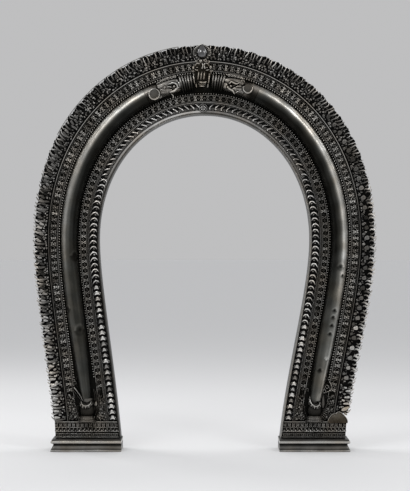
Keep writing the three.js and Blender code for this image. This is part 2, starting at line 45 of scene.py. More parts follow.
# The core's inner edge, as the solids have it.
SPRING_HALF = 255.5
SPRING_Z = 505
CROWN_RISE = 302.5
CROWN_POWER = 2.06
FOOT_HALF = 190
FOOT_HANDLE = (17.5, 195)
SPRING_HANDLE = 115
LEAN = 10
CROWN_WIDENING = 0.05
FOOT_WIDENING = 0.035

# Levels of the foot.
PLINTH_TOP = 29
PANEL_TOP = 70
VASE_TOP = 118
SQUARE_TOP = 150
SCROLL_TOP = 178
TORN_TOP = 92

# Depths. STRIP_BACK is the y of the bands' flat back, from which out is measured.
GAP = 0.3
SILVER = 1.2
BACK = 34
STRIP_BACK = -2.3

# The bands, each from its inner to its outer side, and the lines across the arch that rows follow.
LEAF = (2.4, 23.6)
LEAF_ROW = 13.6
SLANTED_LEAF_ROW = 16.2
FILLET_BEADS = 8.4
INNER_RIDGE = (24, 27)
INNER_RIDGE_TOP = (25.1, 25.9)
LATTICE = (27.4, 43.2)
INNER_BEADS = (43.6, 48.2)
DENTIL_ROW = 45.9
TUBE_CENTRE = 69
OUTER_BEADS = (90, 98)
CORD_ROW = 93.2
CORD_LINE = 97.3
VINE = (98.4, 116.4)
OUTER_RIDGE = (116.8, 121)
OUTER_RIDGE_TOP = (118.3, 119.5)
FLAMES_FROM = 121.4
BORDER_ROW = 136
FLAME_ROW = 140
LOW_PAD_ROW = 142
FLAME_TIP = 159
HEM = 12

# The round moulding. Its taper is the radius at its foot and the height where it is full.
TUBE_RADIUS = 19.5
TUBE_END_DROP = 9.5
TUBE_TAPER = {"left": (7.5, 330), "right": (10.5, 270)}
TUBE_SEAT = 0.42  # the share of the radius that its centre stands in front of STRIP_BACK

# Places round the crown, in degrees above the widest place: each head's two ends, and its ruff's upper end.
TUBE_JOINT_ANGLE = 6.6
FLAME_JOINT_ANGLE = 12
MAKARA = {"left": (66, 80.5), "right": (68.5, 82.5)}
RUFF_ENDS = {"left": 85.4, "right": 87.4}

TO_METRES = 0.001
TO_MILLIMETRES = 1000
SHARP_FROM = math.radians(48)

# The leg of the core's inner edge is one curve through these, from the floor to the widest place.
LEG = np.array([
    [FOOT_HALF, 0],
    [FOOT_HALF + FOOT_HANDLE[0], FOOT_HANDLE[1]],
    [SPRING_HALF, SPRING_Z - SPRING_HANDLE],
    [SPRING_HALF, SPRING_Z],
], float)


def smooth(share):
    s = np.clip(share, 0, 1)
    return s * s * (3 - 2 * s)


def unit(vectors):
    return vectors / np.linalg.norm(vectors, axis=-1, keepdims=True)


def around(sides):
    """The angles of a closed section's even sides."""
    return np.arange(sides) * 2 * math.pi / sides


def leg_point(t):
    t = np.asarray(t, float)[..., None]
    u = 1 - t
    return u**3 * LEG[0] + 3 * u * u * t * LEG[1] + 3 * u * t * t * LEG[2] + t**3 * LEG[3]


def leg_tangent(t):
    t = np.asarray(t, float)[..., None]
    u = 1 - t
    steps = np.diff(LEG, axis=0)
    return unit(u * u * steps[0] + 2 * u * t * steps[1] + t * t * steps[2])


def edge(p):
    """Points on the core's inner edge, outward normals and the bands' widening.
    p runs from 0 at the floor to 1 at the widest place and 2 at the top of the crown."""
    p = np.asarray(p, float)
    on_leg = leg_point(np.clip(p, 0, 1))
    height = on_leg[..., 1]
    tangent = leg_tangent(np.clip(p, 0, 1))
    square = np.stack([tangent[..., 1], -tangent[..., 0]], -1)
    turned = smooth((height - PANEL_TOP) / (SQUARE_TOP - PANEL_TOP))[..., None]
    leg_normal = unit((1 - turned) * np.array([1.0, 0.0]) + turned * square)
    leg_widen = 1 + FOOT_WIDENING * smooth(1 - height / SQUARE_TOP)

    angle = np.clip(p - 1, 0, 1) * math.pi / 2
    across = np.clip(np.cos(angle), 0, 1) ** (2 / CROWN_POWER)
    up = np.sin(angle) ** (2 / CROWN_POWER)
    on_crown = np.stack([SPRING_HALF * across, SPRING_Z + CROWN_RISE * up], -1)
    slope = CROWN_POWER - 1
    crown_normal = unit(np.stack([across**slope / SPRING_HALF, up**slope / CROWN_RISE + 1e-12], -1))
    crown_widen = 1 + CROWN_WIDENING * smooth(up)

    below = p < 1
    return (
        np.where(below[..., None], on_leg, on_crown),
        np.where(below[..., None], leg_normal, crown_normal),
        np.where(below, leg_widen, crown_widen),
    )


def place(p, across, out=0.0):
    """Points at p along the arch, a distance across the bands and a height in front of the strips' back."""
    p, across, out = np.broadcast_arrays(*[np.asarray(a, float) for a in (p, across, out)])
    at, normal, widen = edge(p)
    plane = at + normal * (across * widen)[..., None]
    return np.stack([plane[..., 0], STRIP_BACK - out, plane[..., 1]], -1)


LEG_TABLE = np.linspace(0, 1, 4001)
LEG_HEIGHTS = leg_point(LEG_TABLE)[:, 1]


def at_height(z):
    return np.interp(z, LEG_HEIGHTS, LEG_TABLE)


def at_angle(degrees):
    return 1 + degrees / 90


def speed(p, across):
    """Millimetres along a band for each unit of p."""
    step = 1e-3
    return np.linalg.norm(place(p, across) - place(np.asarray(p) - step, across), axis=-1) / step


def along(p, across, distance):
    return p + distance / speed(p, across)


WALK_POINTS = 1500  # how finely a band is measured


def evenly(across, start, end, pitch):
    """Stations at an even spacing along a band, and that spacing."""
    walk = np.linspace(start, end, WALK_POINTS)
    run = np.concatenate([[0], np.cumsum(np.linalg.norm(np.diff(place(walk, across), axis=0), axis=1))])
    count = max(1, round(run[-1] / pitch))
    return np.interp(np.linspace(0, run[-1], count + 1), run, walk), run[-1] / count


def centres(across, start, end, pitch):
    """The middles of even cells along a band, and the cells' length over the wanted pitch."""
    marks, step = evenly(across, start, end, pitch / 2)
    if len(marks) % 2 == 0:
        marks, step = evenly(across, start, end, (step * (len(marks) - 1)) / len(marks))
    return marks[1::2], 2 * step / pitch


# Places along the arch, as values of p.
FOOT = at_height(PLINTH_TOP + GAP)
BAND_FOOT = at_height(PANEL_TOP + GAP)
TORN_FOOT = at_height(TORN_TOP)
ORNAMENT_TOP = at_height(SQUARE_TOP + 2)
TUBE_FOOT = at_height(VASE_TOP + TUBE_END_DROP)
BEAD_FOOT = at_height(SCROLL_TOP + 2)
MIDDLE = float(along(2, 0, -GAP / 2))
TUBE_JOINT = at_angle(TUBE_JOINT_ANGLE)
FLAME_JOINT = at_angle(FLAME_JOINT_ANGLE)


def upright(points):
    """Points given as x, z and height, set on the face in the frame's own axes."""
    return np.stack([points[:, 0], STRIP_BACK - points[:, 2], points[:, 1]], -1)


def face_out(y):
    """The height in front of the strips' back of a plane at y."""
    return STRIP_BACK - y


# Closed forms. Each is its points, four-sided faces, triangles and wear, with x across, y along and z out.
# Wear runs from 0 in the hollows, where the tarnish stays, to 1 on the crests, which hands have polished.
# In places it also carries painted light and shade: the round moulding, its dents and the heads' ends, strips
# facing up, the vase's bowl, the ruff's leaves, the crown's slanting leaves, the inner edge and the plinth's
# cove.

SUNK = 0.4  # how far a form's flat back lies inside what carries it
PETAL_POINT = 0.9  # the higher, the sharper a petal's tip


def facing_out(points, quads, tris):
    """Faces turned so that the form's volume is positive."""
    halves = np.concatenate([quads[:, [0, 1, 2]], quads[:, [0, 2, 3]], tris]) if len(quads) else tris
    a, b, c = (points[halves[:, i]] for i in range(3))
    if np.einsum("ij,ij->i", a, np.cross(b, c)).sum() < 0:
        return quads[:, ::-1], tris[:, ::-1]
    return quads, tris


def form(points, quads, tris, wear=None):
    points = np.asarray(points, float)
    quads = np.asarray(quads, int).reshape(-1, 4)
    tris = np.asarray(tris, int).reshape(-1, 3)
    if wear is None:
        wear = np.clip(points[:, 2] / max(points[:, 2].max(), 1e-6), 0, 1)
    return (points, *facing_out(points, quads, tris), np.broadcast_to(wear, len(points)) * 1.0)


def grid_faces(rows, columns, start=0):
    """Quads between rows of points that close on themselves."""
    i = np.arange(rows - 1)[:, None] * columns
    k = np.arange(columns)[None, :]
    after = (k + 1) % columns
    return (start + np.stack([i + k, i + after, i + columns + after, i + columns + k], -1)).reshape(-1, 4)


def fan(first, count):
    k = np.arange(1, count - 1)
    return np.stack([np.full_like(k, first), first + k, first + k + 1], -1)


def loft(rings, closed=False, wear=None):
    """A closed form through rings of points, with flat ends or joined into a loop."""
    rings = np.asarray(rings, float)
    rows, columns = rings.shape[:2]
    points = rings.reshape(-1, 3)
    quads = grid_faces(rows, columns)
    if closed:
        k = np.arange(columns)
        after = (k + 1) % columns
        last = (rows - 1) * columns
        quads = np.concatenate([quads, np.stack([last + k, last + after, after, k], -1)])
        tris = np.zeros((0, 3), int)
    else:
        tris = np.concatenate([fan(0, columns)[:, ::-1], fan((rows - 1) * columns, columns)])
    return form(points, quads, tris, wear)


def cushion(outline, height, rings=5, top=None, centre=None):
    """A pad that rises from a closed outline. top gives its height from x, y and the share of the way out."""
    outline = np.asarray(outline, float)
    sides = len(outline)
    middle = outline.mean(0) if centre is None else np.asarray(centre, float)
    turn = np.linspace(0, math.pi / 2, rings + 1)
    shares = np.cos(turn[:-1])
    flat = middle + (outline - middle) * shares[:, None, None]
    if top is None:
        levels = height * np.sin(turn[:-1])[:, None] * np.ones(sides)
        peak = height
    else:
        levels = top(flat[..., 0], flat[..., 1], shares[:, None] * np.ones(sides))
        peak = float(top(middle[0], middle[1], 0.0))
    rows = np.concatenate([flat, levels[..., None]], -1).reshape(-1, 3)
    under = np.concatenate([outline, np.full((sides, 1), -SUNK)], -1)
    points = np.concatenate([under, rows, [[*middle, peak], [*middle, -SUNK]]])
    quads = grid_faces(rings + 1, sides)
    crown, base = len(points) - 2, len(points) - 1
    k = np.arange(sides)
    after = (k + 1) % sides
    last = rings * sides
    tris = np.concatenate([
        np.stack([last + k, last + after, np.full_like(k, crown)], -1),
        np.stack([after, k, np.full_like(k, base)], -1),
    ])
    return form(points, quads, tris)


def sideways(path):
    """Unit vectors square to a flat path, to its right."""
    tangent = unit(np.gradient(path, axis=0))
    return np.stack([tangent[:, 1], -tangent[:, 0]], -1)


def ribbon(path, half, height, base=0.0, closed=False, sides=6):
    """A half-round bar along a flat path."""
    path = np.asarray(path, float)
    if closed:
        wrapped = np.concatenate([path[-1:], path, path[:1]])
        normal = sideways(wrapped)[1:-1]
    else:
        normal = sideways(path)
    half, height, base = (np.broadcast_to(v, len(path)) for v in (half, height, base))
    turn = np.linspace(0, math.pi, sides + 1)
    spread = np.concatenate([[1], np.cos(turn), [-1]])
    rise = np.concatenate([[-1], np.sin(turn), [-1]])
    flat = path[:, None] + normal[:, None] * (half[:, None] * spread)[..., None]
    out = np.where(rise < 0, -SUNK, base[:, None] + height[:, None] * rise)
    return loft(np.concatenate([flat, out[..., None]], -1), closed)


def horn(path, half, thick, sides, wear):
    """A free bar of oval section along a path in space."""
    path = np.asarray(path, float)
    normal = sideways(path[:, :2])
    half, thick = (np.broadcast_to(v, len(path)) for v in (half, thick))
    turn = around(sides)
    flat = path[:, None, :2] + normal[:, None] * (half[:, None] * np.cos(turn))[..., None]
    out = path[:, None, 2] + thick[:, None] * np.sin(turn)
    return loft(np.concatenate([flat, out[..., None]], -1), wear=wear)


def joined(*forms):
    """Several forms as one."""
    points, quads, tris, wear, count = [], [], [], [], 0
    for made in forms:
        points.append(made[0])
        quads.append(made[1] + count)
        tris.append(made[2] + count)
        wear.append(made[3])
        count += len(made[0])
    return tuple(np.concatenate(parts) for parts in (points, quads, tris, wear))


def moved(made, x=0.0, y=0.0, out=0.0, turn=0.0, size=1.0):
    """A form scaled, turned in its own plane and shifted."""
    points, quads, tris, wear = made
    points = points * size
    cos, sin = math.cos(turn), math.sin(turn)
    spun = np.stack([
        points[:, 0] * cos - points[:, 1] * sin + x,
        points[:, 0] * sin + points[:, 1] * cos + y,
        points[:, 2] + out,
    ], -1)
    return spun, quads, tris, wear


def worn(made, low, high):
    """A form whose wear runs from low in its hollows to high on its crests."""
    points, quads, tris, wear = made
    return points, quads, tris, low + (high - low) * wear


def toned(made, wear):
    """A form with the same wear all over."""
    return *made[:3], np.full(len(made[0]), wear)


def widened(made, share):
    """A form stretched across the bands alone."""
    return made[0] * [share, 1, 1], *made[1:]


def oval(half_x, half_y, sides, power=2.0):
    """An oval outline, squarer as the power grows."""
    turn = around(sides)
    return np.stack([
        half_x * np.sign(np.cos(turn)) * np.abs(np.cos(turn)) ** (2 / power),
        half_y * np.sign(np.sin(turn)) * np.abs(np.sin(turn)) ** (2 / power),
    ], -1)


def teardrop(width, length, sides):
    """A drop from its round end at the origin to its point along y."""
    turn = around(sides)
    reach = np.sin(turn) * np.sin(turn / 2) ** PETAL_POINT
    return np.stack([
        -width / 2 * reach / reach.max(),
        length / 2 * (1 + np.cos(turn)),
    ], -1)


class Relief:
    """Closed forms gathered into one piece, on one side of the arch."""

    def __init__(self, seed=0):
        self.parts = []
        self.random = np.random.default_rng(seed)

    def add(self, made):
        """A form whose points are already in the right half's own millimetres."""
        self.parts.append(made)

    def stamp(self, made, p, across, out=0.0, turn=0.0, stretch=1.0, loose=0.0):
        """Copies of a small form, at each p and distance across, with a hand's unevenness.
        loose says how much their turn, size, height and wear vary."""
        points, quads, tris, wear = made
        p, across = np.broadcast_arrays(np.atleast_1d(np.asarray(p, float)), np.asarray(across, float))
        count = len(p)
        centre = place(p, across, out)
        _, normal, widen = edge(p)
        sway = np.clip(loose * self.random.normal(size=count) * 0.05, -0.09, 0.09)
        angle = (np.broadcast_to(turn, count) + sway)[:, None]
        size = np.clip(1 + loose * self.random.normal(size=count) * 0.04, 0.9, 1.02)[:, None]
        rise = (1 + loose * self.random.normal(size=count) * 0.07)[:, None]
        x, y, z = points.T
        x1 = (x * np.cos(angle) - y * np.sin(angle)) * size * widen[:, None]
        y1 = (x * np.sin(angle) + y * np.cos(angle)) * size * stretch
        nx, nz = normal[:, :1], normal[:, 1:]
        world = np.stack([
            centre[:, :1] + x1 * nx - y1 * nz,
            centre[:, 1:2] - z * rise,
            centre[:, 2:] + x1 * nz + y1 * nx,
        ], -1).reshape(-1, 3)
        shift = (np.arange(count) * len(points))[:, None, None]
        tone = wear[None] + loose * self.random.normal(size=(count, 1)) * 0.08
        self.add((
            world,
            (quads[None] + shift).reshape(-1, 4),
            (tris[None] + shift).reshape(-1, 3),
            np.clip(tone, 0, 1).reshape(-1),
        ))

    def flat(self, made, x, z, out=0.0, turn=0.0, size=1.0):
        """A form set upright on the face at x and z, whatever the arch does there."""
        points, quads, tris, wear = moved(made, x, z, out, turn, size)
        self.add((upright(points), quads, tris, wear))

    def strip(self, outline, stations, wear):
        """A bar along the arch. outline is a list of (across, out) points, or gives one for a p.
        wear is one value, or one for each place of each station's section."""
        rings = []
        for p in stations:
            section = np.asarray(outline(p) if callable(outline) else outline, float)
            rings.append(place(p, section[:, 0], section[:, 1]))
        rings = np.array(rings)
        self.add(loft(rings, wear=np.broadcast_to(wear, rings.shape[:2]).reshape(-1)))

    def wire(self, stations, across, half, height):
        """A half-round wire along a band."""
        centre = place(stations, across)[:, [0, 2]]
        points, quads, tris, wear = ribbon(centre, half, height, sides=5)
        self.add((upright(points), quads, tris, wear))

    def bar(self, stations, across, half, thick, out):
        """A free round wire along the arch, rubbed on its front."""
        turn = around(8)
        rings = np.array([
            place(p, across + half * np.cos(turn), out + thick * np.sin(turn)) for p in stations
        ])
        wear = np.clip(0.35 + 0.4 * np.sin(turn), 0.1, 1)
        self.add(loft(rings, wear=np.tile(wear, len(stations))))

    def build(self, name, material, side=1, stands_for=()):
        points, quads, tris, wear = joined(*self.parts)
        quads, tris = facing_out(points, quads, tris)
        lean = LEAN * smooth((SPRING_Z - points[:, 2]) / SPRING_Z)
        points = np.stack([side * points[:, 0] - lean, points[:, 1], points[:, 2]], -1)
        if side < 0:
            quads, tris = quads[:, ::-1], tris[:, ::-1]
        make_mesh(name, points, quads, tris, wear, material, stands_for)


def make_mesh(name, points, quads, tris, wear, material, stands_for=()):
    """A piece on the one body, which takes the place of the nodes it stands for."""
    mesh = bpy.data.meshes.new(name)
    mesh.vertices.add(len(points))
    mesh.vertices.foreach_set("co", (points * TO_METRES).astype(np.float32).ravel())
    corners = np.concatenate([quads.ravel(), tris.ravel()]).astype(np.int32)
    starts = np.concatenate([np.arange(len(quads)) * 4, len(quads) * 4 + np.arange(len(tris)) * 3])
    mesh.loops.add(len(corners))
    mesh.loops.foreach_set("vertex_index", corners)
    mesh.polygons.add(len(starts))
    mesh.polygons.foreach_set("loop_start", starts.astype(np.int32))
    mesh.update(calc_edges=True)
    mesh.validate()
    mesh.polygons.foreach_set("use_smooth", np.full(len(mesh.polygons), True))
    mesh.attributes.new("wear", "FLOAT", "POINT").data.foreach_set("value", wear.astype(np.float32))
    mesh.set_sharp_from_angle(angle=SHARP_FROM)
    piece = bpy.data.objects.new(name, mesh)
    bpy.context.scene.collection.objects.link(piece)
    mesh.materials.append(material)
    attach(piece, "root")
    if stands_for:
        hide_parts(*stands_for)


SIDES = {"right": 1, "left": -1}


def pair(name, make, material, stands_for=(), seed=1):
    """The same piece on both sides. make fills a Relief, and gets the side's word."""
    for index, (word, side) in enumerate(SIDES.items()):
        relief = Relief(seed * 10 + index)
        make(relief, word)
        relief.build(f"{name}_{word}", material, side, [f"{node}_{word}" for node in stands_for])


# Materials

def add_node(tree, kind, inputs=None, **settings):
    made = tree.nodes.new("ShaderNode" + kind)
    for key, value in settings.items():
        setattr(made, key, value)
    for key, value in (inputs or {}).items():
        if isinstance(value, bpy.types.NodeSocket):
            tree.links.new(value, made.inputs[key])
        else:
            made.inputs[key].default_value = value
    return made


def sum_of(tree, *terms):
    """A weighted sum of sockets, as (socket, weight) pairs, and a plain number."""
    total = None
    for term in terms:
        if isinstance(term, tuple):
            scaled = add_node(tree, "Math", {0: term[0], 1: term[1]}, operation="MULTIPLY").outputs[0]
        else:
            scaled = term
        if total is None:
            total = scaled
        else:
            total = add_node(tree, "Math", {0: total, 1: scaled}, operation="ADD").outputs[0]
    return total


def ramp(tree, factor, stops):
    made = add_node(tree, "ValToRGB", {"Fac": factor})
    elements = made.color_ramp.elements
    while len(elements) < len(stops):
        elements.new(0.5)
    for element, (position, colour) in zip(elements, stops):
        element.position = position
        element.color = (*colour, 1)
    return made.outputs["Color"]


def noise(tree, vector, scale, detail=3.0, roughness=0.55):
    return add_node(
        tree, "TexNoise", {"Vector": vector, "Scale": scale, "Detail": detail, "Roughness": roughness},
    ).outputs["Fac"]


def mix(tree, factor, first, second, mode="MIX"):
    made = add_node(tree, "Mix", data_type="RGBA", blend_type=mode)
    sockets = [s for s in made.inputs if s.type == "RGBA"]
    for socket, value in ((made.inputs[0], factor), (sockets[0], first), (sockets[1], second)):
        if isinstance(value, bpy.types.NodeSocket):
            tree.links.new(value, socket)
        else:
            socket.default_value = value if np.isscalar(value) else (*value, 1)
    return [s for s in made.outputs if s.type == "RGBA"][0]


def new_material(name):
    material = bpy.data.materials.new(name)
    material.use_nodes = True
    tree = material.node_tree
    tree.nodes.clear()
    output = add_node(tree, "OutputMaterial")
    shader = add_node(tree, "BsdfPrincipled")
    tree.links.new(shader.outputs["BSDF"], output.inputs["Surface"])
    return material, tree, shader


DUST = (1.0, 0.86, 0.7)

# The scales of the silver's noise, in waves to a metre, and how deep its dents are, in metres
BROAD_SCALE = 34
FINE_SCALE = 520
DUST_SCALE = 21
DENT_SCALE = 170
DENT_DEPTH = 0.0006


def silver(name, stops, rough=(0.62, 0.3), wear_weight=1.0, patches=0.3, grain=0.25, shade=0.9,
           reach=0.005, bump=0.35, warm=0.5):
    """Oxidised silver: dark in the hollows from tarnish and from painted shade, rubbed bright on the crests,
    brown where dust has settled.
    stops run from the deepest tarnish to the brightest crest, and rough from the one to the other.
    patches and grain are the weights of broad and fine noise, and shade and reach those of the painted shade
    in the hollows."""
    material, tree, shader = new_material(name)
    coordinates = add_node(tree, "TexCoord").outputs["Object"]
    wear = add_node(tree, "Attribute", attribute_name="wear").outputs["Fac"]
    # Painted shade: an occlusion node darkens the colour in hollows, creases and where parts meet, where
    # shade and contact shadow fall, over the tarnish there.
    open_share = add_node(tree, "AmbientOcclusion", {"Distance": reach}, samples=6).outputs["AO"]
    broad = noise(tree, coordinates, BROAD_SCALE, 4)
    fine = noise(tree, coordinates, FINE_SCALE, 3, 0.6)
    seen = add_node(tree, "Math", {0: open_share, 1: 1.4}, operation="POWER").outputs[0]
    rubbed = sum_of(
        tree, (wear, wear_weight), (broad, patches), (fine, grain), -(patches + grain) / 2,
    )
    occlusion_shade = add_node(tree, "Math", {0: 1.0, 1: seen}, operation="SUBTRACT").outputs[0]
    tone = sum_of(tree, rubbed, (occlusion_shade, -shade))
    tone = add_node(tree, "Math", {0: tone, 1: 0.0}, operation="ADD", use_clamp=True).outputs[0]
    colour = ramp(tree, tone, stops)
    dusty = add_node(tree, "MapRange", {
        "Value": noise(tree, coordinates, DUST_SCALE, 3), "From Min": 0.42, "From Max": 0.68, "To Max": warm,
    })
    tinted = mix(tree, dusty.outputs[0], colour, DUST, "MULTIPLY")
    tree.links.new(tinted, shader.inputs["Base Color"])
    shader.inputs["Metallic"].default_value = 1.0
    gloss = add_node(tree, "MapRange", {
        "Value": sum_of(tree, tone, (fine, 0.3), -0.15), "To Min": rough[0], "To Max": rough[1],
    })
    tree.links.new(gloss.outputs[0], shader.inputs["Roughness"])
    hammered = sum_of(tree, (noise(tree, coordinates, DENT_SCALE, 2), 0.6), (fine, 0.4))
    dents = add_node(tree, "Bump", {"Height": hammered, "Strength": bump, "Distance": DENT_DEPTH})
    tree.links.new(dents.outputs["Normal"], shader.inputs["Normal"])
    return material


CHASED = silver(
    "silver_chased",
    [(0, (0.007, 0.007, 0.006)), (0.35, (0.045, 0.043, 0.039)), (0.7, (0.17, 0.163, 0.151)),
     (1, (0.56, 0.55, 0.52))],
)
BORDER = silver(
    "silver_border",
    [(0, (0.006, 0.006, 0.006)), (0.35, (0.05, 0.049, 0.046)), (0.7, (0.21, 0.205, 0.195)),
     (1, (0.66, 0.65, 0.625))],
    rough=(0.55, 0.26),
)
BRIGHT = silver(
    "silver_bright",
    [(0, (0.008, 0.008, 0.008)), (0.35, (0.055, 0.054, 0.052)), (0.7, (0.3, 0.294, 0.282)),
     (1, (0.88, 0.87, 0.84))],
    rough=(0.5, 0.22),
)
PLAIN = silver(
    "silver_plain",
    [(0, (0.01, 0.01, 0.009)), (0.3, (0.045, 0.046, 0.042)), (0.6, (0.15, 0.15, 0.138)),
     (0.85, (0.45, 0.445, 0.42)), (1, (0.8, 0.79, 0.76))],
    rough=(0.5, 0.34), patches=0.2, grain=0.1, shade=0.4, reach=0.012, bump=0.1,
)
RIMS = silver(
    "silver_rim",
    [(0, (0.014, 0.014, 0.013)), (0.35, (0.06, 0.059, 0.055)), (0.7, (0.19, 0.185, 0.172)),
     (1, (0.5, 0.49, 0.465))],
    rough=(0.46, 0.27), patches=0.5, grain=0.15, shade=0.35, reach=0.008, bump=0.14,
)
POLISHED = silver(
    "silver_jewel",
    [(0, (0.03, 0.03, 0.031)), (1, (0.24, 0.24, 0.241))],
    rough=(0.16, 0.1), patches=0.3, grain=0.1, shade=0.3, reach=0.01, bump=0.02, warm=0.0,
)
MASK = silver(
    "silver_mask",
    [(0, (0.005, 0.005, 0.004)), (0.4, (0.03, 0.027, 0.022)), (0.75, (0.12, 0.108, 0.09)),
     (1, (0.46, 0.44, 0.4))],
    rough=(0.55, 0.28), warm=0.9,
)
SHEET = silver(
    "silver_sheet",
    [(0, (0.01, 0.01, 0.009)), (0.5, (0.035, 0.034, 0.031)), (1, (0.09, 0.088, 0.082))],
    wear_weight=0.0, patches=1.2, grain=0.5, shade=0.5, reach=0.01,
)
PATCH = silver(
    "silver_patch",
    [(0, (0.007, 0.006, 0.005)), (0.35, (0.042, 0.037, 0.029)), (0.7, (0.15, 0.134, 0.108)),
     (1, (0.5, 0.48, 0.44))],
    rough=(0.5, 0.3), patches=0.9, grain=0.3, shade=0.5, reach=0.008, bump=0.14, warm=0.9,
)


def wood_material(name, turn):
    """Old dark timber, with its grain along each board."""
    material, tree, shader = new_material(name)
    coordinates = add_node(tree, "TexCoord").outputs["Object"]
    turned = add_node(tree, "Mapping", {"Vector": coordinates, "Rotation": (0, turn, 0)}).outputs[0]
    stretched = add_node(tree, "Mapping", {"Vector": turned, "Scale": (1.0, 1.0, 0.07)}).outputs[0]
    rings = noise(tree, stretched, 160, 5, 0.6)
    pores = noise(tree, stretched, 900, 2, 0.5)
    colour = ramp(tree, sum_of(tree, (rings, 0.8), (pores, 0.2)), [
        (0.3, (0.028, 0.017, 0.011)), (0.5, (0.075, 0.045, 0.028)), (0.68, (0.13, 0.082, 0.052)),
        (0.8, (0.17, 0.115, 0.075)),
    ])
    tree.links.new(colour, shader.inputs["Base Color"])
    shader.inputs["Roughness"].default_value = 0.72
    grain = add_node(tree, "Bump", {
        "Height": sum_of(tree, (rings, 0.6), (pores, 0.4)), "Strength": 0.5, "Distance": 0.0008,
    })
    tree.links.new(grain.outputs["Normal"], shader.inputs["Normal"])
    return material


def dress(names, material):
    """A solid that keeps its own shape takes a finished material."""
    for name in names:
        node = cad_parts[name]
        node.data.materials.clear()
        node.data.materials.append(material)


UPRIGHT = wood_material("wood_upright", 0)
HAUNCH = {"right": wood_material("wood_haunch_right", 0.5), "left": wood_material("wood_haunch_left", -0.5)}
LEVEL = wood_material("wood_level", math.pi / 2)
dress(["core_crown"], LEVEL)
for word in SIDES:
    dress([f"core_leg_{word}", f"tube_rod_{word}"], UPRIGHT)
    dress([f"core_haunch_{word}"], HAUNCH[word])
    dress([f"{node}_{word}" for node in ("plinth_core", "core_tongue_lower", "core_tongue_upper")], LEVEL)
    dress([f"face_sheet_{word}"], SHEET)

# Small forms of the bands

BEAD = cushion(oval(2.2, 2.2, 12), 2.4, rings=4)
STUD = cushion(oval(1.5, 1.5, 10), 1.6, rings=3)


def curve(points, steps):
    """A smooth line through a few points, evenly sampled."""
    points = np.asarray(points, float)
    padded = np.concatenate([2 * points[:1] - points[1:2], points, 2 * points[-1:] - points[-2:-1]])
    t = np.linspace(0, len(points) - 1 - 1e-9, steps)
    i = t.astype(int)
    s = (t - i)[:, None]
    a, b, c, d = padded[i], padded[i + 1], padded[i + 2], padded[i + 3]
    return 0.5 * (2 * b + (c - a) * s + (2 * a - 5 * b + 4 * c - d) * s**2 + (3 * b - a - 3 * c + d) * s**3)


def mirrored_outline(right):
    """A closed outline from its right half, which runs up from the bottom to the top on the axis."""
    right = np.asarray(right, float)
    return np.concatenate([right, right[-2:0:-1] * [-1, 1]])


def arm(points, half, height, low, high, steps=27):
    """A bar of a leaf, thickest in the middle."""
    from_tip = 1 - np.abs(np.linspace(-1, 1, steps)) ** 2.4
    bar = ribbon(curve(points, steps), 0.6 + half * from_tip, 1.0 + height * from_tip, 0.5, sides=8)
    return worn(bar, low, high)


def chevron_leaf(wide):
    """A leaf of the inner row at mid height: its inner arm lies across, and its outer arm sweeps down."""
    arms = arm([(-9.4, -5.0), (-8.2, -1.4), (-5.2, 1.8), (-1.0, 2.9), (3.2, 1.4), (6.6, -2.4), (9.6, -7.2)],
               1.75, 2.9, 0.12, 1.05)
    body = worn(cushion(oval(3.6, 2.6, 20), 2.6), 0.2, 0.7)
    keel = ribbon([(-0.8, 2.0), (-0.8, 4.4), (-0.6, 6.8)], [1.2, 0.9, 0.4], [3.2, 2.6, 1.6], 0.4)
    return widened(joined(arms, moved(body, -2.2, -2.4), worn(keel, 0.2, 0.8)), wide)


def broad_leaf(wide):
    """A leaf of the lower leg: a bell-shaped pad with a pointed top, between two low arms that curl down."""
    right = np.concatenate([
        curve([(0, -3.6), (3.4, -4.1), (6.4, -5.2)], 7),
        curve([(7.4, -4.0), (6.3, -0.8), (5.2, 2.4), (3.4, 4.8), (0, 6.4)], 11),
    ])

    def rise(x, y, share):
        return 0.9 + (3.5 - 0.1 * y) * np.sqrt(np.clip(1 - share**2.6, 0, 1))

    pad = worn(cushion(mirrored_outline(right), 0, rings=7, top=rise, centre=(0, 0.2)), 0.3, 1.06)
    arms = []
    for hand in (-1, 1):
        path = curve([(hand * 3.6, 3.2), (hand * 6.4, 1.6), (hand * 8.3, -1.6), (hand * 8.6, -4.8)], 9)
        arms.append(worn(ribbon(path, [0.5, 0.9, 1.2, 1.3, 1.3, 1.2, 1.0, 0.8, 0.5], 3.4, 0.5), 0.2, 0.92))
    return widened(joined(pad, *arms), wide)


def slanting_leaf(blob):
    """A leaf of the crown: a bar that slants down and outwards from a round head, whose wear and painted
    light is blob, and the bar the darker for it.
    """
    path = [(-6.6, 4.4), (-4.0, 4.2), (-0.6, 1.8), (3.2, -2.0), (7.2, -6.8)]
    head = worn(cushion(oval(2.6, 2.3, 16), 3.4), 0.2, blob)
    return joined(arm(path, 1.5, 2.8, 0.15, 1.3 - 0.4 * blob, 20), moved(head, -4.8, 2.6))


def petal(width, length, height, sides=14, rings=4):
    """A pointed leaf with a crease along its middle."""

    def top(x, y, share):
        crease = 0.35 * height * np.exp(-((x / (0.16 * width)) ** 2)) * (1 - share)
        return height * np.sqrt(np.clip(1 - share**2, 0, 1)) - crease + 0.25 * height

    outline = teardrop(width, length, sides)
    return cushion(outline, height, rings=rings, top=top, centre=(0, 0.45 * length))


def three_leaves(middle, wing, apart, up, turn):
    """A leaf between two others that lean away from it."""
    return joined(middle, *[moved(wing, side * apart, up, turn=-side * turn) for side in (1, -1)])


def rosette(count, inner, made):
    """Copies of a form round a middle, each inner away from it."""
    return joined(*[
        moved(made, *(inner * np.array([-math.sin(a), math.cos(a)])), turn=a) for a in around(count)
    ])


def spokes(made, angles, inner=1.2):
    """Copies of a form that point away from the middle, at angles in degrees from the way along."""
    return joined(*[
        moved(made, inner * math.sin(a), inner * math.cos(a), 0.2, turn=-a) for a in np.radians(angles)
    ])


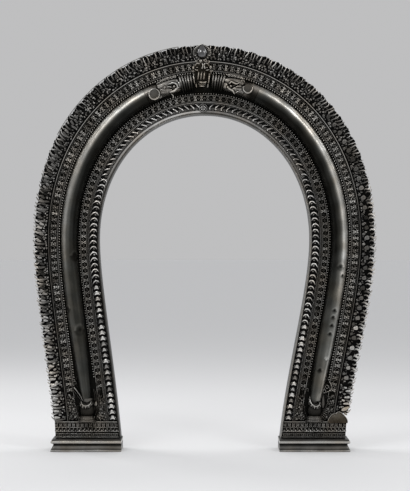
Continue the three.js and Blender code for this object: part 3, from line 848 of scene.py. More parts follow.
def lattice_cell():
    """A flower of four petals round a bead, and above it a bar between two studs."""
    flower = spokes(worn(petal(4.6, 6.4, 2.8), 0.1, 0.95), (62, 118, 242, 298))
    bar = ribbon([(0, 3.2), (0, 7.6), (0, 12.0)], [1.4, 0.9, 1.4], 2.0, 0.4)
    knobs = [moved(worn(STUD, 0.2, 0.9), s * 1.9, 7.6, 0.4, size=0.75) for s in (-1, 1)]
    return joined(flower, moved(worn(BEAD, 0.3, 1.0), out=1.3, size=0.9), worn(bar, 0.1, 0.7), *knobs)


def ring(radius, half, height, base, sides=22):
    return ribbon(oval(radius, radius, sides), half, height, base, closed=True, sides=5)


def vine_cell(hand):
    """A knot of the vine: a domed heart, four leaves round it, a winding stem, a curl and a stud."""
    heart = worn(cushion(oval(2.7, 3.4, 16), 3.6), 0.2, 1.0)
    leaf = worn(petal(4.8, 7.4, 2.8, sides=12), 0.1, 0.9)
    stem = [(0.6, 3.0), (2.8, 5.6), (1.4, 8.4), (-1.6, 9.6), (-0.4, 12.2)]
    curl = [(-2.6, 8.8), (-5.2, 8.2), (-6.2, 5.6), (-4.2, 4.4)]
    return joined(
        heart, spokes(leaf, (70 - 8 * hand, 112, 248, 292 + 8 * hand), 1.6),
        worn(ribbon(curve(np.multiply(stem, [hand, 1]), 14), 1.1, 2.2, 0.4), 0.1, 0.85),
        worn(ribbon(curve(np.multiply(curl, [hand, 1]), 10), 0.8, 1.8, 0.4), 0.05, 0.75),
        moved(worn(STUD, 0.2, 0.9), hand * 5.4, 7.6, 0.4, size=0.8),
    )


def boss(width, length, lean=-70):
    """A pad of the border, which leans outwards and up."""
    outline = oval(width / 2, length / 2, 24, 2.7)
    outline = outline * np.stack([1 + 0.45 * outline[:, 1] / length, np.ones(24)], -1)

    def top(x, y, share):
        crease = 0.8 * np.exp(-((x / 0.8) ** 2)) * (1 - share)
        return 1.2 + 3.4 * np.sqrt(np.clip(1 - share**3, 0, 1)) - crease

    return moved(cushion(outline, 0, rings=6, top=top), turn=math.radians(lean))


def tongue(points, width, lift, taper):
    """A free tongue of the border through a few (across, along) points, with its tip curled forward."""
    steps, sides = 17, 8
    t = np.linspace(0, 1, steps)
    flat = curve(points, steps)
    out = 1.3 + lift * np.sin(math.pi * t**0.8) + 1.4 * t**3
    half = width / 2 * (0.6 + 0.45 * np.sin(math.pi * t**0.85) + (0.14 - taper) * t**3)
    thick = 0.8 + 0.9 * np.sin(math.pi * t**0.7) * (1 - 0.5 * t)
    faces_out = 0.5 + 0.5 * np.sin(np.arange(sides) * math.pi / 4)
    wear = np.repeat(0.4 + 0.6 * t**1.3, sides) * np.tile(0.3 + 0.7 * faces_out, steps)
    return horn(np.concatenate([flat, out[:, None]], -1), half, thick, sides, np.clip(wear + 0.1, 0, 1))


def stations_between(start, end, step=6.0, across=70.0):
    return evenly(across, start, end, step)[0]


def flat_base(relief, band, stations, thick, wear):
    """The plain ground that a band's ornament stands on."""
    low, high = band
    relief.strip([(low, 0), (low, thick), (high, thick), (high, 0)], stations, wear)


def wear_and_painted_top_light(stations, shares, low=0.5, high=1.0):
    """A section's wear along a strip, brighter towards the crown, where its outer side faces up: painted
    light from above over the section's own wear.
    """
    upwards = edge(stations)[1][:, 1]
    return np.asarray(shares, float) * (low + (high - low) * smooth(upwards))[:, None]


# Where the leaves change: heights of the leg, and places along the arch
BROAD_LEAVES_BELOW = {"left": 395, "right": 300}
FILLET_FROM = 1.12
LEAF_SLANTS_FROM = 1.3

# The width of the leaves over their drawn width, and where they lie across the band
LEAF_PLACE = {"left": (0.98, 12.8), "right": (0.94, 12.2)}
BROAD_LEAF_WEAR = (1.0, 0.8, 1.04, 0.88)

# The raised bed of the slanting leaves as (across, out), and its wear
SLANTED_LEAF_BED = [(9.4, 0), (9.4, 1.7), (13.4, 2.0), (15.2, 1.1), (15.2, 0)]
SLANTED_LEAF_BED_WEAR = (0, 0.45, 0.5, 0.2, 0)
# The heads' wear on each side, which sets the bars' too: painted light, with bright bars on the left and
# bright heads on the right, as the light fell on the crown.
SLANTED_HEAD_LIGHT_BY_SIDE = {"left": 0.55, "right": 1.2}
FILLET_WEAR = {"left": 1.0, "right": 0.75}


def fillet(p):
    """The plain band beside the crown's leaves, which opens out above the widest place."""
    low = LEAF[0]
    high = low + 0.8 + 4.0 * float(smooth((p - FILLET_FROM) / 0.2))
    return [(low, 0), (low, 1.8), (low + 0.3, 2.4), (high - 0.3, 2.4), (high, 1.8), (high, 0)]


def leaf_band(relief, word):
    stations = stations_between(BAND_FOOT, MIDDLE)
    flat_base(relief, LEAF, stations, 0.6, 0.0)
    p, stretch = centres(LEAF_ROW, BAND_FOOT, along(MIDDLE, LEAF_ROW, -9), 13.8)
    broad, crown = edge(p)[0][:, 1] < BROAD_LEAVES_BELOW[word], p > LEAF_SLANTS_FROM
    wide, middle = LEAF_PLACE[word]
    for first, share in enumerate(BROAD_LEAF_WEAR):
        made = worn(broad_leaf(wide), 0, share)
        relief.stamp(made, p[broad][first::len(BROAD_LEAF_WEAR)], middle, 0.3, stretch=stretch, loose=1.6)
    relief.stamp(chevron_leaf(wide), p[~broad & ~crown], middle, 0.3, stretch=stretch, loose=1.0)
    rising = stations[stations > LEAF_SLANTS_FROM]
    relief.strip(SLANTED_LEAF_BED, rising, np.tile(SLANTED_LEAF_BED_WEAR, (len(rising), 1)))
    made = slanting_leaf(SLANTED_HEAD_LIGHT_BY_SIDE[word])
    relief.stamp(made, p[crown], SLANTED_LEAF_ROW, 0.3, stretch=stretch, loose=1.0)
    rising = stations[stations > FILLET_FROM]
    wear = FILLET_WEAR[word] * wear_and_painted_top_light(rising, (0, 0.7, 1.0, 1.0, 0.7, 0))
    relief.strip(fillet, rising, wear)
    p, _ = centres(FILLET_BEADS, LEAF_SLANTS_FROM, MIDDLE, 3.4)
    relief.stamp(cushion(oval(0.9, 1.2, 8), 1.9, rings=3), p, FILLET_BEADS, 0.6, loose=0.5)
    relief.wire(stations, LEAF[1] - 0.8, 0.6, 1.8)


def ridge(relief, band, top, sides, wear, leg_light_factor):
    """A bar between two bands. sides are its inner side's (in from the edge, out) points, from the foot up,
    which its outer side mirrors, and top is the span and the height of its flat top."""
    low, high = band
    first, last, height = top
    section = [(low + inset, out) for inset, out in sides] + [(first, height), (last, height)]
    section += [(high - inset, out) for inset, out in sides[::-1]]
    stations = stations_between(BAND_FOOT, MIDDLE)
    relief.strip(section, stations, wear_and_painted_top_light(stations, wear, leg_light_factor))


def inner_ridge(relief, word):
    ridge(relief, INNER_RIDGE, (*INNER_RIDGE_TOP, 4.3), [(0, 0), (0, 1.4), (0.5, 2.6)],
          (0, 0.1, 0.6, 1.2, 1.2, 0.6, 0.1, 0), 0.5)


def outer_ridge(relief, word):
    ridge(relief, OUTER_RIDGE, (*OUTER_RIDGE_TOP, 5.4), [(0, 0), (0, 1.8), (0.7, 3.8)],
          (0, 0, 0.3, 1.6, 1.6, 0.4, 0, 0), 0.4)


def openwork(relief, band, cells, pitch, loose, inset, half, height):
    """A dark band whose cells repeat in turn, between a wire along each side."""
    stations = stations_between(BAND_FOOT, MIDDLE)
    flat_base(relief, band, stations, 0.5, 0.0)
    middle = sum(band) / 2
    p, stretch = centres(middle, ORNAMENT_TOP, MIDDLE, pitch)
    for first, cell in enumerate(cells):
        relief.stamp(cell, p[first::len(cells)], middle, 0.2, stretch=stretch, loose=loose)
    for across in (band[0] + inset, band[1] - inset):
        relief.wire(stations, across, half, height)


LATTICE_WEAR = {"left": 1.0, "right": 0.88}


def lattice_band(relief, word):
    openwork(relief, LATTICE, [worn(lattice_cell(), 0, LATTICE_WEAR[word])], 15.2, 0.8, 0.9, 0.9, 2.2)


def vine_band(relief, word):
    openwork(relief, VINE, [vine_cell(1), vine_cell(-1)], 14.8, 1.4, 0.7, 0.6, 1.8)


def bead_row(relief, band, row, bead, out, turn, loose):
    """Beads close together along a band."""
    stations = stations_between(BEAD_FOOT, MIDDLE)
    flat_base(relief, band, stations, 0.7, 0.12)
    p, stretch = centres(row, BEAD_FOOT, MIDDLE, 6.2)
    relief.stamp(bead, p, row, out, turn=turn, stretch=stretch, loose=loose)
    return stations


def inner_bead_row(relief, word):
    dentil = worn(cushion(oval(2.2, 1.75, 14, 2.8), 3.9, rings=4), 0.25, 1.0)
    bead_row(relief, INNER_BEADS, DENTIL_ROW, dentil, 0.5, 0.0, 0.8)


def outer_bead_row(relief, word):
    """A twisted cord beside a thin line."""
    twist = worn(cushion(oval(3.2, 1.9, 16), 3.6), 0.2, 1.0)
    stations = bead_row(relief, OUTER_BEADS, CORD_ROW, twist, 0.4, math.radians(34), 0.7)
    relief.wire(stations, CORD_LINE, 0.65, 2.6)


# The border's scallops for each unit of p, how far out its plate reaches, and the tongues' pitch
SCALLOPS = 83
PLATE_REACH = 151.2
LONGEST_TONGUE = 157.3
FLAME_PITCH = {"left": 9.4, "right": 8.8}
TONGUE_WEAR = {"left": (0.84, 1.3), "right": (0.92, 1.4)}

# Where the pads that lie across the border end, as heights, and where fine tongues take over, along the arch
PADS_ACROSS_BELOW = {"left": 225, "right": 178}
FINE_FLAMES_FROM = {"left": 1.46, "right": 1.2}

# The rows of small leaves among the tongues' roots: place across and wear. The inner ones run all the way,
# and the others lie only where the tongues are fine
BORDER_LEAVES = ((123.4, 0.7), (128.6, 0.8), (134.0, 0.75), (139.4, 0.7), (144.4, 0.6))
LEAF_ROWS_ALL_THE_WAY = {"left": 3, "right": 2}

# The pads along the left border above its foot: how far up from each place, place across and wear
LEFT_PADS = ((0, 141.5, 0.95), (8.5, 136.5, 0.6), (16.5, 142, 0.8))

# Where the pads above the foot get darker and where they end, as p, and their wear before and after
PADS_DARKER_FROM = {"left": 0.6, "right": 0.7}
PADS_END = {"left": FINE_FLAMES_FROM["left"], "right": FINE_FLAMES_FROM["right"] + 0.3}
PAD_WEAR = {"left": (1.0, 0.7), "right": (0.82, 0.56)}

# Where a wire joins the left side's tips
WIRED = (at_angle(34), at_angle(82))

# The kinds of tongue that take turns below the fine ones: root and tip across, slant, bend and wave along,
# width and lift
TONGUES = {
    "left": [(127, 158.2, 2.6, -2.6, 0.6, 5.6, 3.0), (137, 158.2, -1.8, 1.0, 1.2, 4.0, 2.2),
             (132, 156.6, 1.6, -1.8, -0.8, 4.8, 1.8)],
    "right": [(139, 159.6, 1.6, 0.8, 2.1, 5.0, 2.6), (142, 156.8, -1.6, -0.8, -1.7, 3.6, 2.2),
              (140, 159.0, 3.0, 1.0, 1.9, 4.4, 2.4)],
}


def flame_kind(word, p, index, random):
    """A tongue's root and tip across, how far it slants, bends and waves along, and its width and lift."""
    root, tip = random.uniform(-1.5, 1.5), random.uniform(-1.8, 0.0)
    if p > FINE_FLAMES_FROM[word]:
        start = 128 + random.uniform(0, 14)
        slant = 0.2 * (start - 150) + random.uniform(-1.5, 1.5)
        bend, wave = random.uniform(-1.6, 1.6), random.uniform(-1.3, 1.3)
        width, lift = random.uniform(2.2, 3.6), random.uniform(1.2, 2.6)
        return start, LONGEST_TONGUE + tip, slant, bend, wave, width, lift
    kinds = TONGUES[word]
    start, end, slant, bend, wave, width, lift = kinds[index % len(kinds)]
    slant, bend = slant + random.uniform(-1.2, 1.2), bend + random.uniform(-0.8, 0.8)
    width *= random.uniform(0.88, 1.1)
    return start + root, min(end + tip, LONGEST_TONGUE), slant, bend, wave, width, lift


def border_plate(p):
    """The section of the border's dark plate, whose outer side is scalloped behind the tongues. Its darkness
    is tarnish and also painted shadow among the tongues.
    """
    reach = PLATE_REACH + 2.2 * abs(math.sin(math.pi * p * SCALLOPS)) + 1.2 * math.sin(131 * p)
    reach += 3.0 * float(smooth((p - 1.15) / 0.2))
    return [(FLAMES_FROM, 0), (FLAMES_FROM, 1.1), (reach - 0.3, 1.1), (reach, 0.7), (reach, 0)]


def border_leaves(relief, start, end, word):
    """Rows of small leaves that point every way between the tongues' roots."""
    random = relief.random
    leaf = petal(4.6, 7.4, 2.6, sides=12)
    p, stretch = centres(BORDER_ROW, start, end, 7.4)
    for row, (across, wear) in enumerate(BORDER_LEAVES):
        chosen = (p > FINE_FLAMES_FROM[word]) | (row < LEAF_ROWS_ALL_THE_WAY[word])
        turn = np.radians(random.uniform(-170, -10, len(p)))
        shift = random.uniform(-1.6, 1.6, len(p))
        relief.stamp(worn(leaf, 0.05, wear), along(p, across, shift)[chosen], across, 0.3, turn=turn[chosen],
                     stretch=stretch, loose=1.8)


def border_tongues(relief, start, end, word):
    random = relief.random
    p, _ = centres(FLAME_ROW, start, end, FLAME_PITCH[word])
    p = along(p, FLAME_ROW, random.uniform(-1.3, 1.3, len(p)))
    t = np.linspace(0, 1, 7)
    for index, at in enumerate(p):
        root, tip, slant, bend, wave, width, lift = flame_kind(word, at, index, random)
        hook, taper = (1.0, 0.1) if at > FINE_FLAMES_FROM[word] else (4.6, 0.34)
        sway = slant * (t - 0.5) + bend * np.sin(math.pi * t) + wave * np.sin(2 * math.pi * t) + hook * t**6
        made = tongue(np.stack([root + (tip - root) * t - FLAME_ROW, sway], -1), width, lift, taper)
        dimmer = 0.22 * float(smooth((at - 0.95) / 0.2))
        wear = random.uniform(*TONGUE_WEAR[word]) - dimmer
        relief.stamp(worn(made, 0.05, wear), at, FLAME_ROW, 0.0, loose=1.0)


def border_pads(relief, start, end, word):
    """The border's larger pads: between the tongues, and then across the border near its foot."""
    p, _ = centres(BORDER_ROW, start, end, 24.5)
    p = p[edge(p)[0][:, 1] >= PADS_ACROSS_BELOW[word]]
    p = p[p < PADS_END[word]]
    lower = p < PADS_DARKER_FROM[word]
    halves = list(zip((p[lower], p[~lower]), PAD_WEAR[word]))
    if word == "right":
        for places, share in halves:
            relief.stamp(worn(boss(11.0, 13.4), 0.2, share), places, 133.6, 1.9, loose=1.5)
        relief.stamp(worn(boss(7.6, 9.0), 0.05, 0.6), along(p, 126, 9), 126.0, 1.4, loose=1.5)
    else:
        for shift, across, wear in LEFT_PADS:
            for places, share in halves:
                made = worn(boss(7.0, 14.0, -68), 0.1, share * wear)
                relief.stamp(made, along(places, across, shift), across, 1.4, loose=2.5)
    p, _ = centres(LOW_PAD_ROW, start, end, 15.8)
    p = p[edge(p)[0][:, 1] < PADS_ACROSS_BELOW[word]]
    relief.stamp(worn(boss(6.6, 15.0, -82), 0.3, 1.15), p, 143.5, 1.6, loose=2.0)
    relief.stamp(worn(boss(5.6, 9.0, -98), 0.2, 1.0), along(p, BORDER_ROW, 6.5), BORDER_ROW, 1.2, loose=2.0)


def flame_border(relief, start, end, word):
    relief.strip(border_plate, stations_between(start, end, 2.4, BORDER_ROW), 0.0)
    border_leaves(relief, start, end, word)
    border_tongues(relief, start, end, word)
    border_pads(relief, start, end, word)
    if word == "left" and WIRED[0] < end:
        tips = stations_between(max(start, WIRED[0]), min(end, WIRED[1]), 2.6, 156)
        relief.bar(tips, FLAME_TIP - 1.6, 0.8, 0.9, 2.2)


def tube_radius(p, word):
    end_radius, full_from = TUBE_TAPER[word]
    height = edge(p)[0][..., 1]
    share = np.clip((height - VASE_TOP) / (full_from - VASE_TOP), 0, 1)
    return end_radius + (TUBE_RADIUS - end_radius) * np.sqrt(share)


# The round moulding's dents: the height of each, how far round it lies, its size and its depth
DENTS = {
    "right": [(447, 0.1, 4.5, 0.9), (428, 0.3, 3.0, 1.4), (347, 0.12, 3.2, 1.5), (331, 0.1, 3.2, 1.4),
              (312, 0.12, 3.2, 1.5), (292, 0.1, 3.2, 1.5), (232, 0.2, 3.0, -0.6), (204, -0.1, 3.4, 1.5)],
    "left": [(470, -0.4, 6.0, 0.7), (352, 0.5, 5.0, 0.5), (300, -0.2, 7.0, 0.5)],
}


# How bright the round moulding is along the arch: p, then its wear and painted light on the inner side and on
# the outer one, and between which shares of the radius, outwards from its centre, the one turns into the
# other. The dark inner side is painted shade and the bright outer side a painted sheen, over the moulding's
# tarnish and rubbing
WEAR_AND_SHEEN = {
    "left": [(0.3, 0.28, 0.38), (0.65, 0.26, 0.4), (0.95, 0.14, 0.66), (1.1, 0.06, 0.8), (1.4, 0.0, 0.86),
             (1.6, 0.02, 0.86), (1.85, 0.1, 0.72)],
    "right": [(0.3, 0.38, 0.68), (0.65, 0.34, 0.72), (0.9, 0.14, 0.86), (1.1, 0.04, 0.86), (1.4, 0.0, 0.87),
              (1.6, 0.0, 0.87), (1.85, 0.06, 0.78)],
}
SHADE_TO_SHEEN_ENDS = (-0.5, 0.5)


def wear_and_sheen_round(p, outwards, word):
    """The wear round the moulding at p: tarnished and painted in shade on its inner side, rubbed and painted
    with a sheen on its outer one.
    """
    places, *shares = np.array(WEAR_AND_SHEEN[word]).T
    inner, outer = (np.interp(p, places, share) for share in shares)
    first, last = SHADE_TO_SHEEN_ENDS
    return inner + (outer - inner) * smooth((outwards - first) / (last - first))


def tube_skin(relief, start, end, word):
    """The round moulding's skin, a little uneven, with its dents, rubbed and painted with a sheen on its
    outer side and painted in shade on its inner one; each dent is painted dark with a highlight above it.
    """
    sides = 44
    first = math.acos(TUBE_SEAT)
    turn = np.linspace(first, 2 * math.pi - first, sides + 1)
    round_to = (turn - math.pi) / (math.pi - first)
    phase = np.random.default_rng(SIDES[word] + 1).uniform(0, 6, 3)

    def near_dents(p, radius):
        """For each dent near p: how far the section's places are from it, in its own sizes, its depth, and
        1 where p is above it or -1 where p is below."""
        height = float(edge(p)[0][1])
        for z, share, size, depth in DENTS[word]:
            if p < 1 and abs(z - height) < 4 * size:
                away = np.hypot(height - z, (round_to + share) * radius * (math.pi - first)) / size
                yield away, depth, float(np.sign(height - z))

    def section(p, radius):
        run = 1000 * p
        radius = radius + 0.12 * np.sin(run / 17 + phase[0]) * np.cos(2 * turn + phase[1]) \
            + 0.08 * np.sin(run / 7 + phase[2] + 3 * turn)
        for away, depth, _ in near_dents(p, radius):
            radius = radius - depth * (np.exp(-away**2) - 0.3 * np.exp(-((away - 1.6) / 0.6) ** 2))
        return np.stack([TUBE_CENTRE + radius * np.sin(turn), -radius * (np.cos(turn) - TUBE_SEAT)], -1)

    def outline(p):
        radius = float(tube_radius(p, word))
        return np.concatenate([section(p, radius), section(p, radius - SILVER)[::-1]])

    stations = stations_between(start, end, 2.6, TUBE_CENTRE)
    outwards = np.sin(turn)
    streaks = np.random.default_rng(SIDES[word] + 5)
    waves = [(streaks.integers(3, 15), streaks.uniform(-9, 9), streaks.uniform(0, 6)) for _ in range(12)]
    waves += [(streaks.integers(0, 3), streaks.uniform(25, 70), streaks.uniform(0, 6)) for _ in range(5)]
    wear = []
    for p in stations:
        skin = wear_and_sheen_round(p, outwards, word)
        for away, depth, above in near_dents(p, TUBE_RADIUS):
            # Painted shade in each dent, a painted highlight on the ring above it and painted shade on the
            # ring below.
            skin = skin - 0.6 * depth * np.exp(-away**2) + 0.14 * above * np.exp(-((away - 1.7) / 0.5) ** 2)
        mottle = sum(np.sin(round_count * turn + pace * p + shift) for round_count, pace, shift in waves)
        wear.append(np.concatenate([skin + 0.012 * mottle, np.full(sides + 1, 0.1)]))
    relief.strip(outline, stations, np.clip(wear, 0, 1))


def tube_top(word):
    return float(along(at_angle(MAKARA[word][0]), TUBE_CENTRE, -GAP / 2))


TUBE_UPPER_FROM = float(along(TUBE_JOINT, TUBE_CENTRE, GAP))
FLAMES_UPPER_FROM = float(along(FLAME_JOINT, FLAMES_FROM, GAP))
FLAMES_LOWER_FROM = {"left": BAND_FOOT, "right": TORN_FOOT}


def lower_flames(relief, word):
    flame_border(relief, FLAMES_LOWER_FROM[word], FLAME_JOINT, word)


def upper_flames(relief, word):
    flame_border(relief, FLAMES_UPPER_FROM, MIDDLE, word)


def lower_tube(relief, word):
    tube_skin(relief, TUBE_FOOT, TUBE_JOINT, word)


def upper_tube(relief, word):
    tube_skin(relief, TUBE_UPPER_FROM, tube_top(word), word)


pair("leaf_row", leaf_band, BRIGHT, ["leaf_band"], 1)
pair("inner_ridge_wire", inner_ridge, CHASED, ["inner_ridge"], 2)
pair("lattice_row", lattice_band, CHASED, ["lattice_band"], 3)
pair("dentil_row", inner_bead_row, CHASED, ["inner_bead_row"], 4)
pair("rope_row", outer_bead_row, CHASED, ["outer_bead_row"], 5)
pair("vine_row", vine_band, CHASED, ["vine_band"], 6)
pair("outer_ridge_wire", outer_ridge, CHASED, ["outer_ridge"], 7)
pair("flames_lower", lower_flames, BORDER, ["flame_border_lower"], 8)
pair("flames_upper", upper_flames, BORDER, ["flame_border_upper"], 9)
pair("round_moulding_lower", lower_tube, PLAIN, ["tube_lower"], 10)
pair("round_moulding_upper", upper_tube, PLAIN, ["tube_upper"], 11)

# Rims, panel and plinth

# The y of the hems' back, the sheet on the outer side and where its hem ends across, and the rows of nails:
# place across, start as p and pitch
HEM_BACK = BACK - 0.7
OUTER_SHEET = (139.3, 140.4)
OUTER_HEM_FROM = 127
NAILS = ((6.5, FOOT, 42), (133, BAND_FOOT, 55))

# How bright the inner edge is painted, on the leg and at the crown's top: painted light from above, brighter
# on the right leg than on the left as the light fell there
INNER_EDGE_PAINTED_LIGHT = {"left": (0.6, 0.95), "right": (1.35, 0.8)}


def inner_edge(relief, word):
    """The sheet that wraps the inner edge: two beads in front, a plain jamb and a hem behind."""
    bead = np.linspace(0, math.pi, 7)
    outer = np.stack([1.15 + 0.85 * np.cos(bead), 2.6 + 1.1 * np.sin(bead)], -1)
    inner = np.stack([-0.55 + 0.85 * np.cos(bead), 3.0 + 1.2 * np.sin(bead)], -1)
    back = face_out(HEM_BACK)
    turned = [(-1.45, back + 1.2), (-1.1, back + 0.3), (-0.3, back), (HEM, back), (HEM, back + 1.1),
              (0.2, back + 1.1), (0.0, back + 1.6), (0.0, 0.2)]
    outline = np.concatenate([[(2.0, 0.2)], outer, inner, turned])
    stations = stations_between(FOOT, MIDDLE, 4.0, 0)
    plain = np.full(len(turned), 0.35)
    wear = np.concatenate([[0.1], 0.25 + 0.55 * np.sin(bead), 0.3 + 0.6 * np.sin(bead), plain])
    relief.strip(outline, stations, wear_and_painted_top_light(stations, wear, *INNER_EDGE_PAINTED_LIGHT[word]))


def outer_edge(relief, word):
    """The plain sheet over the core's outer side, hemmed behind."""
    back = face_out(HEM_BACK)
    inner, outer = OUTER_SHEET
    outline = [(inner, 0.2), (inner + 0.2, 1.0), (outer - 0.2, 1.0), (outer, 0.2), (outer, back + 0.5),
               (outer - 0.5, back), (OUTER_HEM_FROM, back), (OUTER_HEM_FROM, back + 1.1), (inner, back + 1.1)]
    relief.strip(outline, stations_between(FLAMES_LOWER_FROM[word], MIDDLE, 6.0, 139), 0.3)


def nail_row(relief, word):
    """Small domed nails through the hems at the back."""
    points, quads, tris, wear = cushion(oval(1.7, 1.7, 10), 0.75, rings=3)
    turned = (points * [-1, 1, -1], quads, tris, wear * 0.7)
    for across, start, pitch in NAILS:
        p, _ = centres(across, start, MIDDLE, pitch)
        relief.stamp(turned, p, across, face_out(BACK - 1.0), loose=0.4)


PANEL = (2.4, 150)
PANEL_FIELD = 3.4
PANEL_SPAN = (3.4, 149)

# The panel's bars: height, half width and how far they stand out
PANEL_BARS = ((67.8, 1.1, 2.4), (65.4, 0.6, 1.5), (54.2, 0.8, 1.9), (40.0, 0.7, 1.7), (31.6, 1.0, 2.3))


def level_bar(relief, z, half, height):
    """A straight half-round bar across the panel."""
    x0, x1 = place(at_height(z), PANEL_SPAN)[:, 0]
    path = np.stack([np.linspace(x0, x1, 12), np.full(12, z)], -1)
    relief.flat(ribbon(path, half, height, PANEL_FIELD, sides=8), 0, 0)


def panel_row(relief, made, z, pitch, inset=3.0):
    """Copies of a form in a level row across the panel."""
    low, high = PANEL_SPAN
    count = round((high - low - 2 * inset) / pitch)
    across = np.linspace(low + inset, high - inset, count)
    relief.stamp(made, np.full(count, at_height(z)), across, PANEL_FIELD, loose=0.8)


def foot_panel(relief, word):
    """A chased panel: level bars with rows of studs, flowers, leaves and beads between them."""
    low, high = PANEL
    section = [(low, 0.3), (low, PANEL_FIELD), (high, PANEL_FIELD), (high, 0.3)]
    relief.strip(section, np.linspace(FOOT, at_height(PANEL_TOP), 12), 0.15)
    for z, half, height in PANEL_BARS:
        level_bar(relief, z, half, height)
    flower = joined(rosette(6, 0.9, petal(2.3, 3.4, 1.3, sides=10, rings=3)), moved(STUD, out=1.0, size=0.8))
    panel_row(relief, flower, 59.8, 9.6)
    panel_row(relief, STUD, 62.8, 4.8, inset=5.4)
    panel_row(relief, STUD, 56.8, 4.8, inset=5.4)
    leaf = three_leaves(petal(5.4, 9.6, 2.2), petal(3.4, 6.4, 1.7, sides=12), 2.6, 0.6, 0.75)
    panel_row(relief, moved(leaf, size=0.78), 43.0, 8.4)
    panel_row(relief, moved(petal(3.0, 5.0, 1.7, sides=12), turn=math.pi), 52.8, 8.4, inset=7.2)
    panel_row(relief, moved(BEAD, size=0.82), 36.0, 4.5)


PLINTH = (188.5, 357)
PLINTH_HALF_DEPTH = 34
PLINTH_CORNER = 0.8
PLINTH_WEAR = 1.2  # over the profile's wear


def plinth_profile():
    """Height, inset from the outermost face and wear, with painted shade in the cove, from the floor up."""
    foot = [(0.0, 0.8, 0.4), (0.6, 0.2, 0.8), (1.6, 0.0, 0.95), (3.4, 0.1, 0.8), (4.4, 0.7, 0.5),
            (4.9, 1.6, 0.2)]
    # In the cove the wear is lowest at its top, where it faces down under the fillet's overhang: painted
    # shade there as well as tarnish.
    cyma = [(5.6, 2.0, 0.3), (7.5, 2.5, 0.46), (9.6, 3.3, 0.54), (11.6, 4.3, 0.46), (13.4, 5.4, 0.34),
            (15.2, 6.3, 0.2), (16.4, 6.5, 0.12), (17.6, 5.9, 0.1), (18.5, 4.6, 0.12), (19.3, 2.8, 0.2)]
    top = [(20.0, 1.2, 0.7), (20.8, 0.6, 0.95), (22.6, 0.5, 0.85), (24.6, 0.6, 0.95), (25.6, 1.2, 0.7),
           (26.3, 2.4, 0.25), (27.4, 2.9, 0.3), (29.0, 3.4, 0.35)]
    return foot + cyma + top


def plinth_ring(inset, z):
    """A level ring round the plinth, counter-clockwise from above, whose inner side keeps its place."""
    sides_long, sides_deep = 34, 14
    x0, x1 = PLINTH[0], PLINTH[1] - inset
    depth = PLINTH_HALF_DEPTH - inset
    xs = np.linspace(x0, x1 - PLINTH_CORNER, sides_long)
    ys = np.linspace(-depth + PLINTH_CORNER, depth - PLINTH_CORNER, sides_deep)
    front = np.stack([xs, np.full(sides_long, -depth)], -1)
    outer = np.stack([np.full(sides_deep, x1), ys], -1)
    back = np.stack([xs[::-1], np.full(sides_long, depth)], -1)
    inner = np.stack([np.full(sides_deep, x0), ys[::-1]], -1)
    ring_points = np.concatenate([front, outer, back, inner])
    return np.concatenate([ring_points, np.full((len(ring_points), 1), z)], -1)


def plinth(relief, word):
    """The moulded casing, a little wavy between its lowest and its highest edge."""
    profile = plinth_profile()
    rings = np.array([plinth_ring(inset, z) for z, inset, _ in profile])
    wave = 0.35 * np.sin(rings[..., 0] / 21 + relief.random.uniform(0, 6)) * np.sin(rings[..., 2] / 9 + 1)
    rings[1:-1, :, 2] += wave[1:-1]
    wear = np.repeat([PLINTH_WEAR * share for *_, share in profile], rings.shape[1])
    relief.add(loft(rings, wear=wear))


# How far the vase's axis lies inside the round moulding's, the bowl's radius, and how far its collar dips
VASE_SHIFT = 1.5
VASE_RADIUS = 16.5
COLLAR_DIP = 8.0

# The vase's profile, as heights and radii
VASE = [
    (70.6, 18.5), (72, 19), (73.4, 18.2), (74.6, 17), (76, 18), (77.4, 17.6), (78.6, 16), (80, 15),
    (81.4, 15.4), (82.8, 14.4), (84.4, 12.6), (86.5, 13.6), (89, 15.2), (92, 16.2), (96, 16.5),
    (100, 16.2), (103.5, 15.2), (106.5, 13.4), (108.5, 12.4), (110, 12.6), (111.6, 13.8), (113.4, 14.8),
    (115, 15), (116.4, 14.2), (117.4, 12.8),
]


def vase_axis():
    return float(place(TUBE_FOOT, TUBE_CENTRE)[0]) - VASE_SHIFT


def level_ring(x, y, z, half_x, half_y, turn):
    """A ring at one height or at a height for each point."""
    return np.stack([x + half_x * np.cos(turn), y + half_y * np.sin(turn), np.broadcast_to(z, len(turn))], -1)


def vase(relief, word):
    """A dark bowl on a lotus foot, whose ragged, turned-over collar dips in front of the round moulding. The
    bowl is painted darker towards its foot: painted shade.
    """
    sides = 72
    turn = around(sides)
    in_front = np.clip(-np.sin(turn), 0, 1)
    middle = STRIP_BACK - TUBE_SEAT * VASE_RADIUS
    rings, wear = [], []
    for z, radius in VASE:
        bowl = smooth((z - 86) / 5) * smooth((108 - z) / 4)
        lotus = smooth((84 - z) / 2)
        rim = smooth((z - 108.5) / 3)
        lobes = 1 - 0.03 * bowl * (1 - np.abs(np.cos(6 * turn))) + 0.05 * lotus * np.abs(np.cos(9 * turn))
        reach = radius * (lobes + 0.06 * rim * np.cos(9 * turn + 1) + 0.04 * rim * np.cos(14 * turn))
        level = z - COLLAR_DIP * rim * in_front + 0.9 * rim * np.sin(11 * turn)
        rings.append(level_ring(vase_axis(), middle, level, reach, 0.92 * reach, turn))
        # Painted shade: the first term darkens the bowl towards its foot, under its bulge.
        rubbed = 0.14 + 0.16 * smooth((z - 88) / 16) + 0.24 * smooth((z - 110) / 2.5) + 0.5 * lotus
        wear.append(np.full(sides, rubbed))
    relief.add(loft(np.array(rings), wear=np.clip(np.concatenate(wear), 0, 1)))


